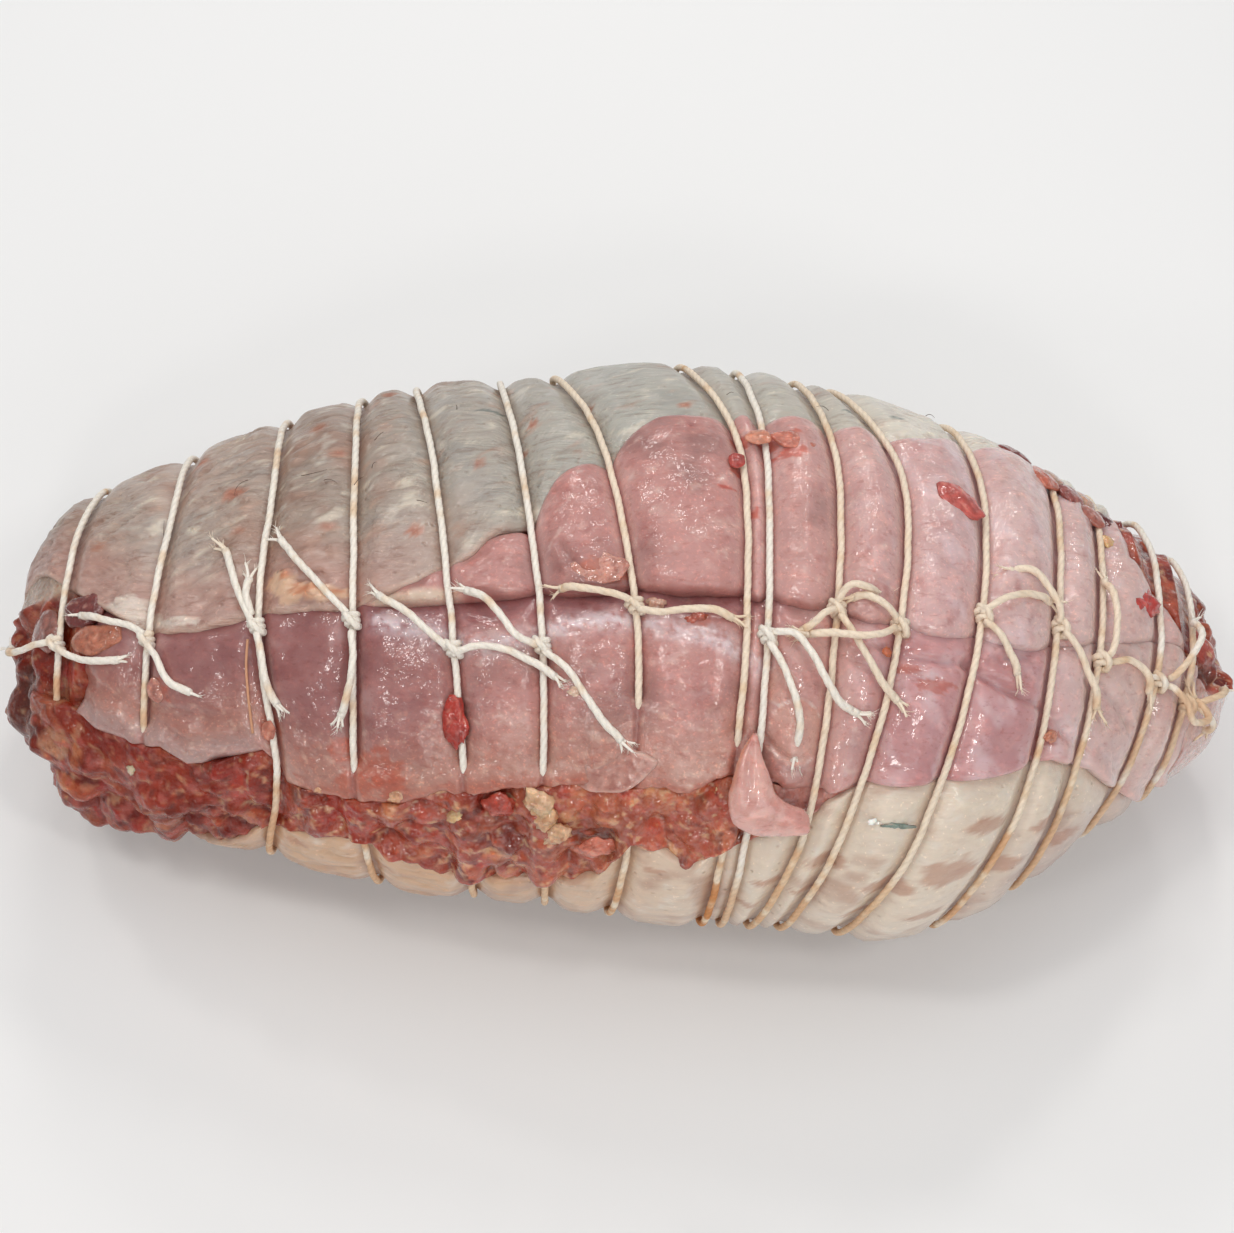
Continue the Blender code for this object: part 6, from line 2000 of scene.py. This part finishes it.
def skin_material():
    """Damp chicken skin: lengthwise lines, follicles and a pale mottle."""
    n = Nodes("chicken_skin")
    n.lean = np.radians(14.0)
    colour, lined = painted(n)
    pores = n.cells(330.0, (0.8, 1.0, 1.0))
    lines = n.noise(760.0, 4.0, 0.62, (0.16, 1.0, 1.0))
    mottle = n.noise(330.0, 4.0, 0.6, (0.8, 1.0, 1.0))
    where = n.times(n.ramp(n.noise(60.0, 2.0, 0.5), 0.34, 0.56, 0.25, 1.0), lined)
    colour = n.tint(colour, PALER, n.ramp(mottle, 0.5, 0.72, 0.0, 0.45))
    dark = n.times(n.ramp(lines, 0.51, 0.68, 0.0, 0.75), where)
    colour = n.tint(colour, (0.70, 0.59, 0.54), dark)
    pale = n.times(n.ramp(lines, 0.47, 0.34, 0.0, 0.7), where)
    colour = n.tint(colour, PALER, pale)
    specks = n.noise(1000.0, 2.0, 0.5)
    colour = n.tint(colour, (1.35, 1.33, 1.28), n.ramp(specks, 0.64, 0.72, 0.0, 0.6))
    colour = n.tint(colour, (0.72, 0.60, 0.54), n.ramp(pores, 0.16, 0.02, 0.0, 0.5))
    n.set(Base_Color=colour)
    n.set(Roughness=n.ramp(n.noise(130.0, 3.0, 0.5), 0.35, 0.65, 0.30, 0.50))
    n.set(Subsurface_Weight=0.25, Subsurface_Radius=(1.0, 0.5, 0.32), Subsurface_Scale=0.002)
    n.set(Coat_Weight=0.5, Coat_Roughness=0.16, Specular_IOR_Level=0.45)
    n.bump((
        (n.times(lines, where), 0.0013, 0.7), (n.ramp(pores, 0.0, 0.2), 0.0005, 0.5),
        (n.noise(420.0, 3.0, 0.5, (0.4, 1.0, 1.0)), 0.0007, 0.5),
    ))
    return n.material


def mince_material():
    """Wet raw mince: fine grains of meat and fat."""
    n = Nodes("red_mince")
    colour, wet = painted(n)
    grain = n.cells(560.0)
    flecks = n.noise(760.0, 4.0, 0.65)
    colour = n.tint(colour, (1.45, 1.30, 1.15), n.ramp(flecks, 0.55, 0.72, 0.0, 0.8))
    colour = n.tint(colour, (0.64, 0.44, 0.38), n.ramp(flecks, 0.46, 0.30, 0.0, 0.75))
    colour = n.tint(colour, (0.80, 0.64, 0.58), n.ramp(grain, 0.35, 0.8, 0.0, 0.5))
    n.set(Base_Color=colour)
    n.set(Roughness=n.ramp(n.noise(500.0, 2.0, 0.5), 0.35, 0.65, 0.16, 0.36))
    n.set(Subsurface_Weight=0.28, Subsurface_Radius=(1.0, 0.26, 0.15), Subsurface_Scale=0.0022)
    n.set(Coat_Weight=wet, Coat_Roughness=0.07, Coat_IOR=1.5, Specular_IOR_Level=0.25)
    fine = n.noise(1150.0, 3.0, 0.55)
    n.bump(((grain, 0.0005, 0.5), (fine, 0.0004, 0.5)), ("Normal",))
    film = n.noise(420.0, 2.0, 0.5)
    wavy = n.noise(700.0, 1.0, 0.5)
    n.bump(((film, 0.0005, 0.8), (wavy, 0.0004, 0.8)), ("Coat Normal",))
    return n.material


def twine_material():
    """Dry cotton: fine fibres along the strands."""
    n = Nodes("cotton_twine")
    colour, _ = painted(n)
    fibre = n.noise(1900.0, 3.0, 0.6)
    colour = n.tint(colour, (0.84, 0.79, 0.72), n.ramp(fibre, 0.5, 0.75, 0.0, 0.6))
    n.set(Base_Color=colour)
    n.set(Roughness=n.ramp(n.noise(300.0), 0.35, 0.65, 0.62, 0.9))
    n.set(Subsurface_Weight=0.12, Subsurface_Radius=(1.0, 0.8, 0.6), Subsurface_Scale=0.0008)
    n.set(Specular_IOR_Level=0.3)
    n.bump(((fibre, 0.0003, 0.6), (n.noise(3200.0, 2.0, 0.5), 0.00015, 0.5)))
    return n.material


# Stage
ELEVATION = 60.0
CAMERA_DISTANCE = 550.0
AIM_HEIGHT = 46.0
MM_PER_PIXEL = 0.2308
AIM_SHIFT_PIXELS = 33.0
FRAME_PIXELS = 1234
SENSOR = 36.0
CLIP_START = 0.01
FLOOR_HALF = 4.0
FLOOR_HEIGHT = -0.0004
FLOOR_GREY = 0.92
WORLD_COLOUR = (0.93, 0.96, 1.0, 1.0)
WORLD_STRENGTH = 0.30
COOL = (0.97, 0.985, 1.0)
WARM = (1.0, 0.985, 0.96)
LAMP = (1.0, 0.97, 0.93)


def camera():
    """Camera of the photo: above and in front, at the photo's scale."""
    up = np.array([0, np.sin(np.radians(ELEVATION)), np.cos(np.radians(ELEVATION))])
    ahead = np.array([0, np.cos(np.radians(ELEVATION)), -np.sin(np.radians(ELEVATION))])
    aim = np.array([0, 0, AIM_HEIGHT]) + PLACE + up * AIM_SHIFT_PIXELS * MM_PER_PIXEL
    eye = aim - ahead * CAMERA_DISTANCE
    data = bpy.data.cameras.new("camera")
    data.sensor_width = SENSOR
    data.lens = SENSOR * CAMERA_DISTANCE / (FRAME_PIXELS * MM_PER_PIXEL)
    data.clip_start = CLIP_START
    obj = bpy.data.objects.new("camera", data)
    obj.location = Vector(eye * MM)
    obj.rotation_euler = (np.radians(90 - ELEVATION), 0, 0)
    link(obj)
    bpy.context.scene.camera = obj


LIGHTS = (
    # name, place, height of its aim, size, power, colour
    ("overhead", (0.0, 0.10, 0.95), 0.04, (0.9, 0.5), 1.3, COOL),
    ("fill", (0.30, -0.85, 0.50), 0.04, (0.8, 0.5), 1.9, WARM),
    ("lamp_0", (-0.32, -0.08, 0.84), 0.05, (0.09, 0.16), 0.85, LAMP),
    ("lamp_1", (0.30, -0.30, 0.80), 0.05, (0.07, 0.18), 0.85, LAMP),
    ("lamp_2", (-0.04, -0.62, 0.60), 0.05, (0.09, 0.09), 0.50, LAMP),
    ("lamp_3", (-0.12, 0.66, 0.56), 0.05, (0.16, 0.07), 0.75, LAMP),
    ("lamp_4", (0.10, 0.50, 0.72), 0.05, (0.07, 0.12), 0.65, LAMP),
    ("lamp_5", (0.34, 0.62, 0.52), 0.05, (0.12, 0.06), 0.50, LAMP),
    ("lamp_6", (-0.40, 0.40, 0.66), 0.05, (0.07, 0.10), 0.50, LAMP),
    ("lamp_7", (-0.50, -0.45, 0.55), 0.05, (0.08, 0.10), 0.50, LAMP),
)


def light(name, place, aim_height, size, power, colour):
    """Soft lamp that looks at a point over the middle."""
    data = bpy.data.lights.new(name, "AREA")
    data.shape = "RECTANGLE"
    data.size, data.size_y = size
    data.energy = power
    data.color = colour
    obj = bpy.data.objects.new(name, data)
    obj.location = place
    away = Vector((0, 0, aim_height)) - Vector(place)
    obj.rotation_euler = away.to_track_quat("-Z", "Y").to_euler()
    link(obj)


def stage():
    """Pale floor, lights and sky."""
    mesh = bpy.data.meshes.new("floor")
    corners = [(-1, -1), (1, -1), (1, 1), (-1, 1)]
    corners = [(x * FLOOR_HALF, y * FLOOR_HALF, FLOOR_HEIGHT) for x, y in corners]
    mesh.from_pydata(corners, [], [(0, 1, 2, 3)])
    floor = bpy.data.objects.new("floor", mesh)
    link(floor)
    n = Nodes("pale_floor")
    n.set(Base_Color=(*[FLOOR_GREY] * 3, 1.0), Roughness=0.9, Specular_IOR_Level=0.1)
    mesh.materials.append(n.material)
    for row in LIGHTS:
        light(*row)
    world = bpy.data.worlds.new("studio")
    world.use_nodes = True
    background = world.node_tree.nodes["Background"]
    background.inputs["Color"].default_value = WORLD_COLOUR
    background.inputs["Strength"].default_value = WORLD_STRENGTH
    bpy.context.scene.world = world
    bpy.context.scene.view_settings.view_transform = "Standard"


def skin_shares():
    """Rows of the skin, closer together where it shows from above."""
    places = np.array([band[0] for band in SKIN_BANDS])
    speeds = 1 / np.array([band[1] for band in SKIN_BANDS])
    fine = np.linspace(0, 1, 2001)
    density = np.interp(fine, places, speeds)
    whole = np.cumsum(density)
    return np.interp(np.linspace(whole[0], whole[-1], SKIN_ROWS), whole, fine)


def dress(obj, material, replaced=None):
    """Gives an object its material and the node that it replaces."""
    obj.data.materials.append(material)
    if replaced is not None:
        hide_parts(replaced)


def main():
    skin = layer_mesh(
        "skin_wrap", skin_foot, skin_top, SKIN_STEP, skin_shares(), SKIN_BLEND, SKIN_LIPS,
        skin_height, skin_paint, left_end=SKIN_LEFT_END,
    )
    dress(skin, skin_material(), "skin")
    back = layer_mesh(
        "meat_lobes", lobe_foot, lobe_top, MEAT_STEP, np.linspace(0, 1, BACK_ROWS), LOBE_BLEND,
        LOBE_LIPS, back_height, back_paint, bulge=BULGE,
    )
    dress(back, flesh_material("lobe_flesh"), "meat_back")
    front = layer_mesh(
        "meat_panel", front_foot, front_top, MEAT_STEP, np.linspace(0, 1, FRONT_ROWS), PANEL_BLEND,
        PANEL_LIPS, front_height, front_paint, buried=buried_strings, bulge=BULGE,
    )
    panel_flesh = flesh_material("panel_flesh")
    dress(front, panel_flesh, "meat_front")
    dress(tab_mesh(), panel_flesh)
    red_mince = mince_material()
    dress(stuffing_mesh(), red_mince, "stuffing")
    dress(flap_mesh(), flesh_material("flap_flesh"), "flap")
    for name, rows, shape in (
        ("mince_scraps", SCRAPS, SCRAP_SHAPE), ("meat_lumps", SMOOTH_SCRAPS, SMOOTH_SHAPE),
    ):
        dress(scrap_mesh(name, rows, *shape), red_mince)
    twine = twine_material()
    dress(hair_mesh(), twine)
    for k in range(1, STRING_COUNT + 1):
        dress(string_mesh(k), twine, f"string_{k:02d}")
    camera()
    stage()


main()
